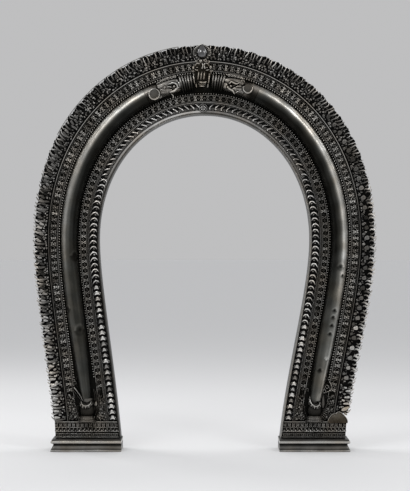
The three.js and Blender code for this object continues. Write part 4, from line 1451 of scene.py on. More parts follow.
def spiral(radius, turns, start, half, height, base, hand=1):
    """A bar that coils inwards to a knob at its centre."""
    t = np.linspace(0, 1, 34)
    angle = math.radians(start) + hand * 2 * math.pi * turns * t
    reach = radius * (1 - 0.78 * t)
    path = np.stack([reach * np.cos(angle), reach * np.sin(angle)], -1)
    winding = ribbon(path, half * (1.15 - 0.4 * t), height * (0.9 + 0.25 * t), base)
    return joined(winding, moved(STUD, out=base + 0.5 * height, size=0.55 + 0.1 * half))


def stroke(relief, points, half, height, base, low=0.15, high=0.9):
    """A half-round bar on the face through a few (x, z) points."""
    relief.flat(worn(ribbon(curve(points, 22), half, height, base), low, high), 0, 0)


# Where the foot's leafwork lies: across the bands, its levels, and the height that it runs round
FACE_SPAN = np.array([28.0, 118.0])
FACE_LEVELS = (74, 150)
FOOT_CENTRE_Z = 99.0

# The collar's bright edge, as x from the vase's axis, y and z, and its bar's radii
COLLAR_RIM = {
    "left": [(-9, -12, 121), (-8, -20, 113), (-2, -24.5, 108.5), (6, -25, 108), (12, -21, 112),
             (15, -14, 120)],
    "right": [(-12, -8, 131), (-10.5, -17, 118), (-5, -23.5, 109.5), (3, -25, 106.5), (9.5, -22, 109.5),
              (13, -14, 118)],
}
COLLAR_RADII = (1.1, 1.6, 1.9, 2.0, 1.7, 1.2)


def collar(relief, word):
    """The turned-over rim that holds the round moulding's end: a bright edge with ragged leaves below it."""
    x = vase_axis()
    rim = [(x + across, y, z) for across, y, z in COLLAR_RIM[word]]
    relief.add(toned(limb(rim, COLLAR_RADII, steps=30, sides=10), 0.95))
    socket = limb([(x, -5.6, 126), (x, -6, 120), (x + 0.5, -7.5, 113), (x + 1, -9, 108)],
                  [12.4, 12.4, 12.2, 11.4, 9.6, 6.0, 2.4], steps=24, sides=28)
    relief.add(toned(socket, 0.62))
    for index, (a, b, c) in enumerate(curve(rim, 13)[1:-1]):
        out = a - x
        leaf = limb([(a, b, c), (a + 0.16 * out, b - 1.8, c - 2.8), (a + 0.3 * out, b - 0.4, c - 6.4)],
                    [1.2, 1.7, 0.6], steps=9, sides=8)
        relief.add(toned(leaf, 0.5 + 0.35 * (index % 2)))


def vase_surround(relief, x, z):
    """Nested arcs round the vase, a fan of leaves outside them, and the bars and petals of its foot."""
    turn = np.radians(np.linspace(-200, 20, 44))
    for radius, half, height, wear in ((20.4, 0.8, 2.2, 0.6), (23.6, 0.9, 2.6, 0.75), (27.2, 0.8, 2.2, 0.6)):
        path = np.stack([radius * np.cos(turn), 1.02 * radius * np.sin(turn)], -1)
        relief.flat(worn(ribbon(path, half, height, 1.0), 0.1, wear), x, z)
    for index, angle in enumerate(np.radians(np.arange(-188, 9, 9.0))):
        made = worn(petal(4.2, 7.6, 2.6, sides=12), 0.1, 0.55 + 0.3 * (index % 2))
        across, up = x + 28.0 * math.cos(angle), z + 27.4 * math.sin(angle)
        relief.flat(made, across, up, 0.6, turn=angle - math.pi / 2)
    for level, half_width, half in ((79.4, 18.5, 1.0), (75.6, 20.0, 0.7), (71.2, 21.5, 0.9)):
        bowed = 0.5 * np.cos(np.linspace(-1.5, 1.5, 14))
        path = np.stack([np.linspace(-half_width, half_width, 14), bowed], -1)
        relief.flat(worn(ribbon(path, half, 2.6, 9.0), 0.2, 0.85), x, level)
    for across in np.linspace(-17, 17, 11):
        relief.flat(worn(petal(2.8, 3.9, 1.5, sides=10, rings=3), 0.1, 0.7), x + across, 71.6, 9.2)


def foot_leafwork(relief, x, z):
    """Rings of small leaves round the vase, as far as the face between the bands goes."""
    for radius, size in ((33.5, 1.0), (39.5, 1.1), (45.5, 1.15), (51.5, 1.2)):
        for angle in np.radians(np.arange(-215, 36, 340 / radius)):
            across, up = x + radius * math.cos(angle), z + radius * math.sin(angle)
            low, high = place(at_height(up), FACE_SPAN)[:, 0]
            if low < across < high and FACE_LEVELS[0] < up < FACE_LEVELS[1]:
                lean = relief.random.uniform(-0.4, 0.4)
                made = worn(petal(4.4, 6.6, 2.6, sides=12), 0.05, relief.random.uniform(0.5, 0.95))
                relief.flat(made, across, up, 0.5, turn=angle - math.pi / 2 + lean, size=size)


def left_straps(relief, x):
    """The left foot's: a strap that climbs outwards to a scroll, and straps and a leaf on its inner side."""
    stroke(relief, [(x + 11, 119), (x + 15.5, 128), (x + 24, 140), (x + 33, 151)], 1.9, 4.4, 3.0, 0.4, 1.0)
    stroke(relief, [(x + 14, 117), (x + 20, 126), (x + 28, 136), (x + 35, 144)], 0.9, 2.8, 1.2)
    relief.flat(worn(spiral(6.2, 1.4, -80, 1.4, 3.4, 1.6), 0.2, 0.95), x + 31.5, 161)
    for shift in (0.0, 4.2, 8.4, 12.2):
        stroke(relief, [(x - 15 - shift, 92 + shift), (x - 18 - shift, 108), (x - 17.5 - shift, 126),
                        (x - 14 - shift, 146 - shift)], 1.0, 3.0 - 0.08 * shift, 1.2, 0.15, 0.75)
    relief.flat(worn(petal(8.5, 14, 4.2), 0.2, 0.85), x - 19, 105, 2.0, turn=0.15)
    relief.flat(worn(spiral(4.6, 1.2, 60, 1.0, 2.8, 1.2), 0.15, 0.8), x - 21, 157)


def right_straps(relief, x, z):
    """The right foot's: a strap over a long leaf, a hook with two rings, a scroll and a fan of rays."""
    stroke(relief, [(x + 11.5, 117), (x + 15, 127), (x + 19.5, 142), (x + 26, 155)], 1.7, 4.4, 3.4, 0.4, 1.0)
    relief.flat(worn(petal(9.0, 40, 4.2, sides=24), 0.2, 0.6), x + 20.5, 99, 2.0, turn=0.02)
    hook = [(x + 34, 165), (x + 39, 157), (x + 41, 149), (x + 35, 142), (x + 27, 139)]
    stroke(relief, hook, 1.6, 3.8, 2.0, 0.3, 1.0)
    relief.flat(worn(ring(4.2, 1.3, 3.2, 1.6), 0.2, 0.95), x + 22.5, 141.5)
    relief.flat(worn(ring(3.8, 1.2, 3.2, 1.6), 0.2, 0.95), x + 29, 152)
    relief.flat(worn(spiral(4.4, 1.2, 140, 1.1, 2.8, 1.2, hand=-1), 0.2, 0.85), x - 18, 144)
    ray = np.array([(18.5, 0), (26, 0.6), (35.5, 0)])
    widths = [0.8, 0.9, 1.0, 1.2, 1.3, 1.3, 1.1, 0.6]
    for angle in np.radians(np.arange(-74, 2, 9.5)):
        turned = ray @ np.array([[math.cos(angle), math.sin(angle)], [-math.sin(angle), math.cos(angle)]])
        relief.flat(worn(ribbon(curve(turned, 8), widths, 3.0, 1.6), 0.1, 0.85), x, z)


def foot_ornament(relief, word):
    """What surrounds the vase: nested arcs, leaves, straps that climb outwards, and scrolls."""
    x, z = vase_axis(), FOOT_CENTRE_Z
    vase_surround(relief, x, z)
    foot_leafwork(relief, x, z)
    if word == "left":
        left_straps(relief, x)
    else:
        right_straps(relief, x, z)
    t = np.linspace(0, 1, 16)
    for side in (-1, 1):
        for reach, foot, head, half in ((23.5, 126, 176, 1.0), (27.5, 124, 170, 0.8)):
            sideways_shift = side * (reach + 2.0 * np.sin(math.pi * t)) + 1.5 * t
            path = np.stack([sideways_shift, foot + (head - foot) * t - z], -1)
            relief.flat(worn(ribbon(path, half, 2.4, 0.6), 0.1, 0.7), x, z)
        relief.flat(worn(spiral(4.6, 1.2, -60, 1.0, 2.8, 1.0, hand=side), 0.15, 0.8), x + side * 25.0, 173)
    collar(relief, word)


# The patch: its centre's height, its own outline round it, and its nails
PATCH_Z = 66.0
PATCH_OUTLINE = np.array([
    (33, -1.2), (80.5, -1.2), (80.5, 3), (77, 11.5), (70, 19), (64, 24.5), (58, 26), (51, 22), (44, 20.5),
    (37, 13.5), (33, 4),
])
PATCH_NAILS = ((36, 1.5), (48, 18), (59, 22.5), (71, 14), (77.5, 1.5), (59, 1.5))


def repair_patch():
    """A plain sheet with a humped top, nailed over the right foot's outer corner."""
    relief = Relief(22)
    x, z = vase_axis(), PATCH_Z
    t = np.linspace(0, 1, 9)[1:-1, None]
    sides = zip(PATCH_OUTLINE, np.roll(PATCH_OUTLINE, -1, 0))
    rim = np.concatenate([np.concatenate([a[None], a + (b - a) * t]) for a, b in sides])

    def dished(x, y, share):
        return 6.6 + 0.7 * np.sin(x / 9) * np.cos(y / 7) - 0.9 * share**6

    relief.flat(worn(cushion(rim, 0, rings=8, top=dished, centre=(58, 8)), 0.25, 0.5), x, z)
    relief.flat(worn(ribbon(curve(PATCH_OUTLINE[2:], 40), 0.8, 1.2, 6.0), 0.4, 1.0), x, z)
    relief.flat(worn(petal(10, 23, 4.6, sides=20), 0.4, 1.15), x + 64, z + 29, 5.6, turn=-1.12)
    relief.flat(worn(petal(6, 11, 3.6, sides=16), 0.3, 0.9), x + 71, z + 25, 4.6, turn=-2.3)
    nail = worn(cushion(oval(1.3, 1.3, 10), 1.0, rings=3), 0.4, 0.8)
    for across, up in PATCH_NAILS:
        relief.flat(nail, x + across, z + up, 6.6)
    relief.build("repair_patch", PATCH)


# Each leaf of the corners' filling: x from the vase's axis, z, turn and size
CORNER_LEAVES = (
    (-30, 84, 0.5, 1.0), (-33, 98, 0.2, 1.0), (-31, 113, -0.1, 1.0), (-28, 130, -0.2, 0.9),
    (38, 82, -0.6, 1.0), (41, 97, -0.3, 1.1), (41, 113, -0.1, 1.1), (42, 129, 0.0, 1.0),
    (-27, 147, 0.1, 0.8), (44, 145, 0.1, 0.9),
)


def corner_filling(relief, word):
    """Leafwork between the vase's surround and the bands on both sides of it."""
    wing = worn(petal(3.4, 6.6, 2.0, sides=12), 0.1, 0.7)
    leaf = moved(three_leaves(worn(petal(4.6, 9.0, 2.6), 0.1, 0.8), wing, 2.2, 0, 0.8), y=-4.0)
    for across, z, turn, size in CORNER_LEAVES:
        relief.flat(leaf, vase_axis() + across, z, 0.5, turn=turn, size=size)


def leg_end_ornament(relief, word):
    """Pointed leaf arches that fill the face between the vase and the border."""
    arch = curve([(-7, -9), (-6.4, 0), (-3, 7), (0, 12)], 14)
    both = np.concatenate([arch, arch[-2::-1] * [-1, 1]])
    made = joined(
        ribbon(both, 0.9, 2.4, 0.4), ribbon(both * 0.62, 0.7, 2.0, 0.4),
        moved(petal(3.8, 8, 2.2), 0, -6.5, 0.4),
    )
    for across, z, size in ((101, 84, 1.15), (103, 108, 1.1), (36, 84, 0.9), (34, 108, 0.8)):
        relief.stamp(moved(made, size=size), at_height(z), across, 0.4)


# The crown

def ellipsoid(x, y, z, half_x, half_y, half_z, sides=20, rings=12):
    """A closed ball, with y towards the back as in the frame."""
    lat = np.linspace(-math.pi / 2, math.pi / 2, rings + 2)[1:-1]
    lon = around(sides)
    rows = np.stack([
        x + half_x * np.cos(lat)[:, None] * np.cos(lon),
        y + half_y * np.cos(lat)[:, None] * np.sin(lon),
        np.broadcast_to(z + half_z * np.sin(lat)[:, None], (rings, sides)),
    ], -1)
    return loft(rows)


ROUNDED_END = 0.1  # the share of a limb's length that each of its round ends takes


def limb(points, radii, steps=18, sides=12, flat=1.0):
    """A round bar through a few points in space, rounded at both ends. flat squashes it front to back."""
    points = np.asarray(points, float)
    path = curve(points, steps)
    where = np.linspace(0, 1, steps)
    radius = np.interp(where, np.linspace(0, 1, len(radii)), radii)
    for past in (ROUNDED_END - where, where - (1 - ROUNDED_END)):
        radius = radius * np.sqrt(np.clip(1 - (np.clip(past, 0, None) / ROUNDED_END) ** 2, 0.05, 1))
    tangent = unit(np.gradient(path, axis=0))
    side = unit(np.cross(tangent, [0.0, 1.0, 0.02]))
    front = np.cross(tangent, side)
    turn = around(sides)
    rings = (
        path[:, None]
        + side[:, None] * (radius[:, None] * np.cos(turn))[..., None]
        + front[:, None] * (flat * radius[:, None] * np.sin(turn))[..., None]
    )
    return loft(rings)


def coil(x, y, z, radius, turns, start, thick, hand=1, steps=30, rise=0.0):
    """A spiral of round bar in the face's plane."""
    t = np.linspace(0, 1, steps)
    angle = math.radians(start) + hand * 2 * math.pi * turns * t
    reach = radius * (1 - 0.8 * t)
    points = np.stack([x + reach * np.cos(angle), y - rise * t, z + reach * np.sin(angle)], -1)
    return limb(points, [thick, thick * 0.9, thick * 1.1], steps=steps, sides=8)


def mirrored(made, axis):
    points, quads, tris, wear = made
    return points * [-1, 1, 1] + [2 * axis, 0, 0], quads[:, ::-1], tris[:, ::-1], wear


def both_sides(*forms, axis):
    return [*forms, *(mirrored(made, axis) for made in forms)]


def vertex_ring_mean(values, edges, count):
    """The mean of the values at each vertex's neighbours."""
    total = np.zeros((count, *values.shape[1:]))
    number = np.zeros(count)
    for a, b in ((edges[:, 0], edges[:, 1]), (edges[:, 1], edges[:, 0])):
        np.add.at(total, a, values[b])
        np.add.at(number, a, 1)
    return total / np.maximum(number, 1).reshape(-1, *[1] * (values.ndim - 1))


def fused_skin(forms, voxel):
    """The points, faces and edges of forms fused into one skin of even small faces."""
    points, quads, tris, _ = joined(*forms)
    rough = bpy.data.meshes.new("rough")
    rough.from_pydata((points * TO_METRES).tolist(), [], quads.tolist() + tris.tolist())
    holder = bpy.data.objects.new("rough", rough)
    bpy.context.scene.collection.objects.link(holder)
    remesh = holder.modifiers.new("remesh", "REMESH")
    remesh.mode = "VOXEL"
    remesh.voxel_size = voxel * TO_METRES
    fused = holder.evaluated_get(bpy.context.evaluated_depsgraph_get()).to_mesh()
    skin = np.empty(len(fused.vertices) * 3)
    fused.vertices.foreach_get("co", skin)
    corners = np.empty(len(fused.loops), np.int32)
    fused.loops.foreach_get("vertex_index", corners)
    edges = np.empty(len(fused.edges) * 2, np.int32)
    fused.edges.foreach_get("vertices", edges)
    bpy.data.objects.remove(holder)
    bpy.data.meshes.remove(rough)
    return skin.reshape(-1, 3) * TO_MILLIMETRES, corners.reshape(-1, 4), edges.reshape(-1, 2)


def skin_normals(skin, faces):
    a, b, c, d = (skin[faces[:, i]] for i in range(4))
    normals = np.zeros((len(skin), 3))
    across = np.cross(c - a, d - b)
    for i in range(4):
        np.add.at(normals, faces[:, i], across)
    return unit(normals + 1e-12)


# The weights of what stands proud in a skin's details and in its masses, and of what faces the viewer
RUBBED_DETAILS = 3.0
RUBBED_MASSES = 9.0
RUBBED_FRONT = 0.12


def sculpted(name, forms, voxel, material, stands_for, accent, base, side=1, finish=None):
    """Forms fused into one skin, smoothed, with its wear taken from how far each place stands proud.
    base is the wear of a level place and accent the weight of what stands proud.
    finish, where given, turns the skin's points and wear into its last wear."""
    if side < 0:
        forms = [mirrored(made, 0.0) for made in forms]
    skin, faces, edges = fused_skin(forms, voxel)
    count = len(skin)
    skin = 0.5 * skin + 0.5 * vertex_ring_mean(skin, edges, count)
    normals = skin_normals(skin, faces)
    proud = ((skin - vertex_ring_mean(skin, edges, count)) * normals).sum(-1) / voxel
    broad = proud
    for _ in range(8):
        broad = 0.4 * broad + 0.6 * vertex_ring_mean(broad, edges, count)
    wear = base + accent * (RUBBED_DETAILS * proud + RUBBED_MASSES * broad)
    wear = wear + RUBBED_FRONT * np.clip(-normals[:, 1], 0, 1)
    if finish:
        wear = finish(skin, wear)
    no_tris = np.zeros((0, 3), int)
    make_mesh(name, skin, faces, no_tris, np.clip(wear, 0, 1), material, stands_for)


CROWN_AXIS = -6.0
MASK_Z = 906
HEAD_VOXEL = 0.55
MASK_VOXEL = 0.42


def lion_mask():
    """A guardian's mask: deep-set eyes beside a waisted nose, a row of long teeth and two bars of jaw."""
    x, z = CROWN_AXIS, MASK_Z

    def bar(points, radii):
        """A limb whose points are measured from the mask's axis and its middle's height."""
        return limb([(x + across, y, z + up) for across, y, up in points], radii)

    head = ellipsoid(x, -7.0, z + 1, 16, 4.5, 26)
    back_plate = ellipsoid(x, -6.5, z, 21.5, 3.8, 30.5)
    nose = [
        bar([(3.4 - 3.6 * s, -19, 21.5), (3.4 - 1.2 * s, -22, 16.5), (3.4 + 1.4 * s, -23, 12),
             (3.4 + 4.2 * s, -21.5, 6.5)], [1.9, 2.4, 2.3, 2.1]) for s in (-1, 1)
    ]
    brow = bar([(5, -18, 19), (10, -18.5, 20.5), (16.5, -15, 18.5)], [1.4, 1.8, 0.9])
    eye = ellipsoid(x + 11.4, -10.5, z + 11.6, 2.2, 2.0, 2.0, 14, 8)
    cheek = bar([(8.5, -17, 4.4), (13.5, -17, 4.6), (18.5, -13, 7.4)], [1.2, 1.7, 1.0])
    teeth = [
        bar([(k + 1.2, -16.5, 1.5), (k + 0.5, -20.5, -6), (k - 0.4, -20.5, -13), (k - 1.0, -17.5, -19.5)],
            [1.2, 1.75, 1.6, 1.0]) for k in (-9.0, -2.2, 4.9)
    ]
    sides = [
        bar([(k, -13, -1), (k * 1.04, -17.5, -11), (k, -18.5, -20), (k * 0.9, -16, -29)],
            [0.9, 1.6, 2.1, 1.5]) for k in (-19.5, 16.5)
    ]
    lip = bar([(-8, -18.5, -23.6), (-2, -21.5, -25.4), (6, -21.5, -25.4), (12, -18.5, -24)],
              [1.5, 2.3, 2.3, 1.5])
    chin = bar([(-8.6, -15, -33), (1, -18.5, -34.2), (9, -15, -33)], [0.9, 1.5, 0.9])
    drops = [
        bar([(k, -16, -27.5), (k * 1.05, -18.5, -32), (k * 0.92, -16, -37.5)], [1.1, 1.8, 0.7])
        for k in (-13.6, 13.6)
    ]
    ears = [
        ellipsoid(x + 20.4, -13.5, z + 11.4, 3.4, 3.6, 4.8),
        ellipsoid(x - 21.0, -12.5, z + 10.6, 2.8, 3.0, 4.2),
        coil(x + 21, -13, z + 3.2, 3.4, 1.1, 60, 1.2, hand=-1, rise=2),
        coil(x - 21, -12, z + 3.0, 3.2, 1.1, 120, 1.1, rise=2),
    ]
    curls = [
        coil(x + 7.6, -15, z + 26.2, 4.2, 1.2, 200, 1.3, hand=-1, rise=3),
        coil(x - 12.4, -14, z + 25.4, 3.8, 1.2, -20, 1.2, rise=3),
        coil(x + 15.4, -12, z + 24.4, 3.6, 1.2, 210, 1.1, hand=-1),
    ]
    gem = ellipsoid(x - 3.6, -18.5, z + 25.6, 4.0, 3.4, 4.4)
    forms = [back_plate, head, gem, *both_sides(brow, eye, cheek, axis=x)]
    forms += [*nose, *teeth, *sides, lip, chin, *drops, *ears, *curls]
    sculpted("guardian_mask", forms, MASK_VOXEL, MASK, ["lion_mask"], accent=1.8, base=0.13)


# The round moulding's radius goes on in the head's: the share of the way to the head's end, and the radius
HEAD_SHAPE = [(0, 19.4), (0.22, 19.0), (0.4, 16.4), (0.6, 15.6), (0.85, 14.0), (1, 13.0)]

# What stands on each head, as lists of x, y and z with the bars' radii
HEAD_BARS = {
    "left": [
        ([(113, -19, 866), (101, -21.5, 871), (88, -22.5, 877), (75, -23, 881), (62, -22, 882)],
         [9, 9, 7.4, 6.6, 7]),
        ([(113, -18, 857), (99, -20.5, 860), (87, -21.5, 861), (77, -22, 859.5)], [9.5, 9, 7.4, 4.6]),
        ([(58.7, -26, 871), (67.3, -28.5, 864), (73, -28.5, 859), (84.6, -27.5, 856)], [1.3, 2.1, 2.3, 1.3]),
        ([(66.4, -27.5, 864.5), (64.6, -29, 870), (67.6, -30, 876), (75, -30, 878.6), (83, -29, 876.5),
          (91, -28, 875)], [1.2, 1.8, 2.2, 2.0, 1.6, 1.0]),
        ([(78.6, -27, 868.2), (84, -28.4, 869.2), (92, -28.4, 868.4)], [1.0, 1.4, 1.0]),
        ([(79, -25, 852.5), (74.6, -26.5, 847), (76, -24, 841)], [1.3, 1.5, 0.7]),
        ([(94, -28.6, 864), (103, -29, 862.5), (108, -28, 858)], [0.9, 1.3, 0.8]),
    ],
    "right": [
        ([(94, -19, 875), (84, -22, 879.5), (72, -23, 883), (58, -23, 884), (48, -20, 884)],
         [7, 7.4, 6.6, 7, 7]),
        ([(95, -18, 861), (84, -20.5, 863), (73, -21.5, 864), (64, -21, 861)], [9.5, 8.6, 7.0, 4.4]),
        ([(54.6, -27, 872.6), (55.8, -29, 867), (61.6, -29.4, 862.7), (66.8, -29, 859.8), (69.7, -28, 855.6),
          (71.4, -26, 851.5)], [1.2, 1.9, 2.1, 1.9, 1.6, 0.9]),
        ([(57.4, -28, 875.5), (64, -30, 880.8), (71, -30, 877.6), (77, -29.4, 876.2), (84, -28.4, 879.6)],
         [1.3, 2.0, 1.9, 1.8, 1.2]),
        ([(74, -28, 868.4), (81, -28.6, 870.4), (88, -27.6, 869.6)], [0.9, 1.4, 1.0]),
        ([(86, -27.6, 860), (79, -28.4, 858), (74, -27.5, 854.4)], [0.9, 1.3, 0.8]),
    ],
}
# The balls of each head: x, y, z and radius
HEAD_BALLS = {
    "left": [(60, -21, 876, 9.4), (72.4, -25.2, 870.2, 3.0), (96, -23.5, 869, 6.6)],
    "right": [(49, -20, 874, 9.0), (62.6, -25.0, 871.4, 3.0), (84, -22.5, 873, 5.6)],
}
# The curls and leaves along the top of each head: x, z and size
HEAD_CREST = {
    "left": [(110, 878.5, 3.0), (103, 883, 3.2), (95.6, 887, 3.4), (88, 890, 3.4), (80, 892.4, 3.4),
             (72, 894.4, 3.6)],
    "right": [(87, 891.4, 3.0), (80, 893.6, 3.2), (73, 895.4, 3.4), (66, 897, 3.4), (59, 898, 3.4)],
}


def tube_ring(p, radius, turn, least=0.0):
    """A section of the round moulding at p, kept in front of the strips' back by at least so much."""
    out = np.clip(radius * (TUBE_SEAT + np.cos(turn)), least, None)
    return place(p, TUBE_CENTRE + radius * np.sin(turn), out)


def crocodile_head(word):
    """A makara's head at the round moulding's end: long jaws, a heavy-lidded eye and a crest of curls."""
    start, end = (at_angle(a) for a in MAKARA[word])
    start, end = float(along(start, TUBE_CENTRE, GAP / 2)), float(along(end, TUBE_CENTRE, -GAP / 2))
    shares, radii = np.array(HEAD_SHAPE).T
    rings = [
        tube_ring(start + (end - start) * share, np.interp(share, shares, radii), around(40))
        for share in np.linspace(0, 1, 40)
    ]
    made = [loft(np.array(rings))]
    made += [limb(points, radii, steps=24) for points, radii in HEAD_BARS[word]]
    made += [ellipsoid(x, y, z, half, half, half) for x, y, z, half in HEAD_BALLS[word]]
    for index, (x, z, half) in enumerate(HEAD_CREST[word]):
        leaf = [(x + 2.0, -11, z - 4), (x + 3.6, -17, z - 1.5), (x + 1.6, -15, z + 4.6)]
        made.append(coil(x, -17, z, half, 1.2, 30 + 20 * index, 1.25, rise=3, steps=20))
        made.append(limb(leaf, [1.4, 1.9, 0.8], steps=9))
    return made


# A disc's profile from its back to its middle: share of the radius, how far behind its front, and wear
DISC = [
    (1.0, 12, 0.1), (1.0, 4.6, 0.3), (0.97, 3.2, 0.5), (0.9, 2.4, 0.5), (0.7, 2.6, 0.55), (0.45, 2.2, 0.5),
    (0.2, 2.5, 0.56), (0.06, 2.4, 0.52),
]


def face_ring(x, y, z, radius, turn):
    """Points round a centre in a plane that faces the viewer."""
    return np.stack([x + radius * np.cos(turn), np.full(len(turn), y), z + radius * np.sin(turn)], -1)


def disc(x, z, radius, front, arc):
    """A flat round boss whose rim stands proud along an arc, given as its first and last degrees."""
    sides = 56
    turn = np.linspace(0, 2 * math.pi, sides + 1)[:-1]
    rings = [face_ring(x, front + back, z, share * radius, turn) for share, back, _ in DISC]
    plate = loft(np.array(rings), wear=np.repeat([wear for *_, wear in DISC], sides))
    path = face_ring(x, front + 2.0, z, radius, np.radians(np.linspace(*arc, 40)))
    return [plate, toned(limb(path, [1.2, 1.7, 1.9, 1.7, 1.2], steps=60, sides=10), 1.0)]


# How far into a head all of the round moulding's wear, with its painted sheen and shade, goes on, and where
# it ends
SHEEN_AND_WEAR_CARRIED = (12, 30)

# The disc below each head: x, z, radius, the y of its front and its rim's arc
DISCS = {"left": (119.9, 851.4, 12.4, -33.2, (-250, 110)), "right": (103.0, 865.2, 10.8, -33.0, (150, 375))}


def makara(word, side):
    """A head with the disc and the small coil beside it."""
    start = at_angle(MAKARA[word][0])
    centre = place(start, TUBE_CENTRE)[[0, 2]] * [side, 1]
    outward = edge(start)[1] * [side, 1]

    def finish(skin, wear):
        """The end goes on in the round moulding's wear and its painted sheen and shade, and changes to the
        head's own.
        """
        away = skin[:, [0, 2]] - centre
        run = np.abs(away @ [-outward[1], outward[0]])
        whole, none = SHEEN_AND_WEAR_CARRIED
        carried = smooth((none - run) / (none - whole))
        tube = wear_and_sheen_round(start, away @ outward / TUBE_RADIUS, word)
        return carried * tube + (1 - carried) * (wear + 0.06)

    sculpted(f"makara_{word}", crocodile_head(word), HEAD_VOXEL, CHASED, [f"makara_head_{word}"],
             accent=0.9, base=0.42, side=side, finish=finish)
    volute = Relief()
    volute.parts += disc(*DISCS[word])
    if word == "left":
        volute.add(coil(106.5, -25, 846, 3.8, 1.1, 120, 1.2, rise=2))
    else:
        volute.add(toned(coil(90.2, -27.5, 881.6, 4.6, 1.1, -40, 1.5, rise=2), 0.8))
    volute.build(f"volute_{word}", RIMS, side)


RUFF_PITCH = 5.4


def ruff(relief, word):
    """The leafy neck between a head and the mask: a core under splayed, curling leaves."""
    start = float(along(at_angle(MAKARA[word][1]), TUBE_CENTRE, GAP / 2))
    end = at_angle(RUFF_ENDS[word])
    rings = [
        tube_ring(start + (end - start) * share, 15.2 + 1.2 * math.sin(math.pi * share), around(32))
        for share in np.linspace(0, 1, 12)
    ]
    relief.add(loft(np.array(rings), wear=0.02))
    length = (end - start) * float(speed((start + end) / 2, TUBE_CENTRE))
    count = max(4, round(length / RUFF_PITCH))
    steps = 26
    turn = np.linspace(-1.75, 1.5, steps)
    for index, share in enumerate((np.arange(count) + 0.5) / count):
        lean = (1.0 - share) * 5.0 + 1.5
        radius = 17.0 + 2.0 * np.sin(np.linspace(0, math.pi, steps)) + 0.7 * math.sin(2.1 * index)
        radius = radius + 3.2 * smooth((turn - 0.8) / 0.7)
        slanted = (lean * (0.5 - (turn + 1.75) / 3.3)) / float(speed(1.9, TUBE_CENTRE))
        p = start + (end - start) * share + slanted
        thick = np.array([0.7, 1.3, 1.7, 2.1, 2.3, 1.4]) * (1 + 0.24 * math.sin(2.7 * index + 1))
        made = limb(tube_ring(p, radius, turn, 0.6), thick, steps=steps, sides=10, flat=0.9)
        # Painted light: each leaf is painted brighter towards its top and darker below, as light from above
        # falls on it.
        upper = np.clip(0.5 + (made[0][:, 2] - made[0][:, 2].mean()) / 30, 0, 1)
        relief.add((*made[:3], 0.1 + 1.0 * upper**1.3 + 0.12 * math.sin(3.0 * index)))


def halo_arch(half, rise):
    """An arch over the jewel, pointed at its top."""
    turn = np.linspace(-0.35, math.pi + 0.35, 30)
    x = half * np.cos(turn)
    z = rise * np.sin(turn) + 0.18 * rise * np.exp(-((x / (0.3 * half)) ** 2)) * (np.sin(turn) > 0)
    return np.stack([x, z], -1)


CREST_Z = 953.0

# The arches of the crest: half width, rise, the bar's half width and height, and the y it starts from
CREST_ARCHES = ((14.0, 15.6, 0.8, 2.0, -7.2), (16.4, 17.6, 0.8, 1.8, -7.0), (18.8, 18.2, 0.8, 1.5, -6.8),
                (21.0, 18.4, 0.9, 1.4, -6.4))


def crest_setting():
    """Nested pointed arches round the jewel, and the leaves that hold it."""
    relief = Relief(31)
    plate = moved(cushion(oval(21, 20.5, 40, 2.2), 1.6, rings=3), 0, 0, face_out(-6.0))
    relief.flat(plate, CROWN_AXIS, CREST_Z)
    for half, rise, width, height, y in CREST_ARCHES:
        relief.flat(ribbon(halo_arch(half, rise), width, height, face_out(y)), CROWN_AXIS, CREST_Z)
    leaf = petal(5.0, 8.5, 2.2, sides=12)
    for angle in np.radians(np.arange(-160, -19, 20.0)):
        x, z = CROWN_AXIS + 12.2 * math.cos(angle), CREST_Z + 12.8 * math.sin(angle)
        relief.flat(leaf, x, z, face_out(-6.6), turn=angle - math.pi / 2)
    relief.build("crest_arches", CHASED, 1, ["crest_setting"])


# The jewel: the levels of its ends, its radius and its y, and its profile as shares of radius and height
JEWEL_LEVELS = (939, 973)
JEWEL_RADIUS = 12.2
JEWEL_Y = -14
JEWEL = [
    (0, 0), (0.34, 0.015), (0.62, 0.055), (0.82, 0.12), (0.94, 0.2), (1, 0.3), (0.99, 0.38), (0.93, 0.47),
    (0.83, 0.56), (0.7, 0.65), (0.55, 0.74), (0.39, 0.83), (0.24, 0.91), (0.1, 0.97), (0, 1),
]


def crest_jewel():
    """A smooth drop, broad near its foot and pointed at its top."""
    relief = Relief(32)
    low, high = JEWEL_LEVELS
    rings = []
    for wide, share in JEWEL:
        reach = max(wide, 0.01) * JEWEL_RADIUS
        z = low + (high - low) * share
        rings.append(level_ring(CROWN_AXIS, JEWEL_Y, z, reach, 0.85 * reach, around(48)))
    relief.add(loft(np.array(rings), wear=0.6))
    relief.build("crest_drop", POLISHED, 1, ["crest_jewel"])


def crown_rosette():
    """The flower at the top of the opening, over the joint of the leaf bands."""
    relief = Relief(33)
    petals = rosette(8, 2.2, petal(3.6, 5.6, 2.2, sides=12))
    flower = joined(petals, ring(2.2, 0.8, 2.4, 0.8, 14), ring(9.2, 0.8, 2.0, 0.4, 26))
    relief.flat(flower, -3.5, float(place(2.0, 13)[2]), 3.0)
    relief.build("crown_rosette", BRIGHT)


pair("inner_edge_sheet", inner_edge, RIMS, ["inner_rim"], 12)
pair("outer_edge_sheet", outer_edge, PLAIN, ["outer_rim"], 13)
pair("hem_nails", nail_row, RIMS, (), 14)
pair("panel_relief", foot_panel, CHASED, ["foot_panel"], 15)
pair("plinth_moulding", plinth, RIMS, ["plinth_casing"], 16)
pair("lobed_vase", vase, CHASED, ["vase"], 17)
pair("foot_scrollwork", foot_ornament, CHASED, ["scroll_inner", "scroll_outer"], 18)
pair("leaf_arches", leg_end_ornament, CHASED, (), 19)
pair("corner_leaves", corner_filling, CHASED, (), 21)
repair_patch()
pair("fluted_neck", ruff, CHASED, ["neck_ruff"], 20)
lion_mask()
for word, side in SIDES.items():
    makara(word, side)
crest_setting()
crest_jewel()
crown_rosette()

# Floor, light and camera

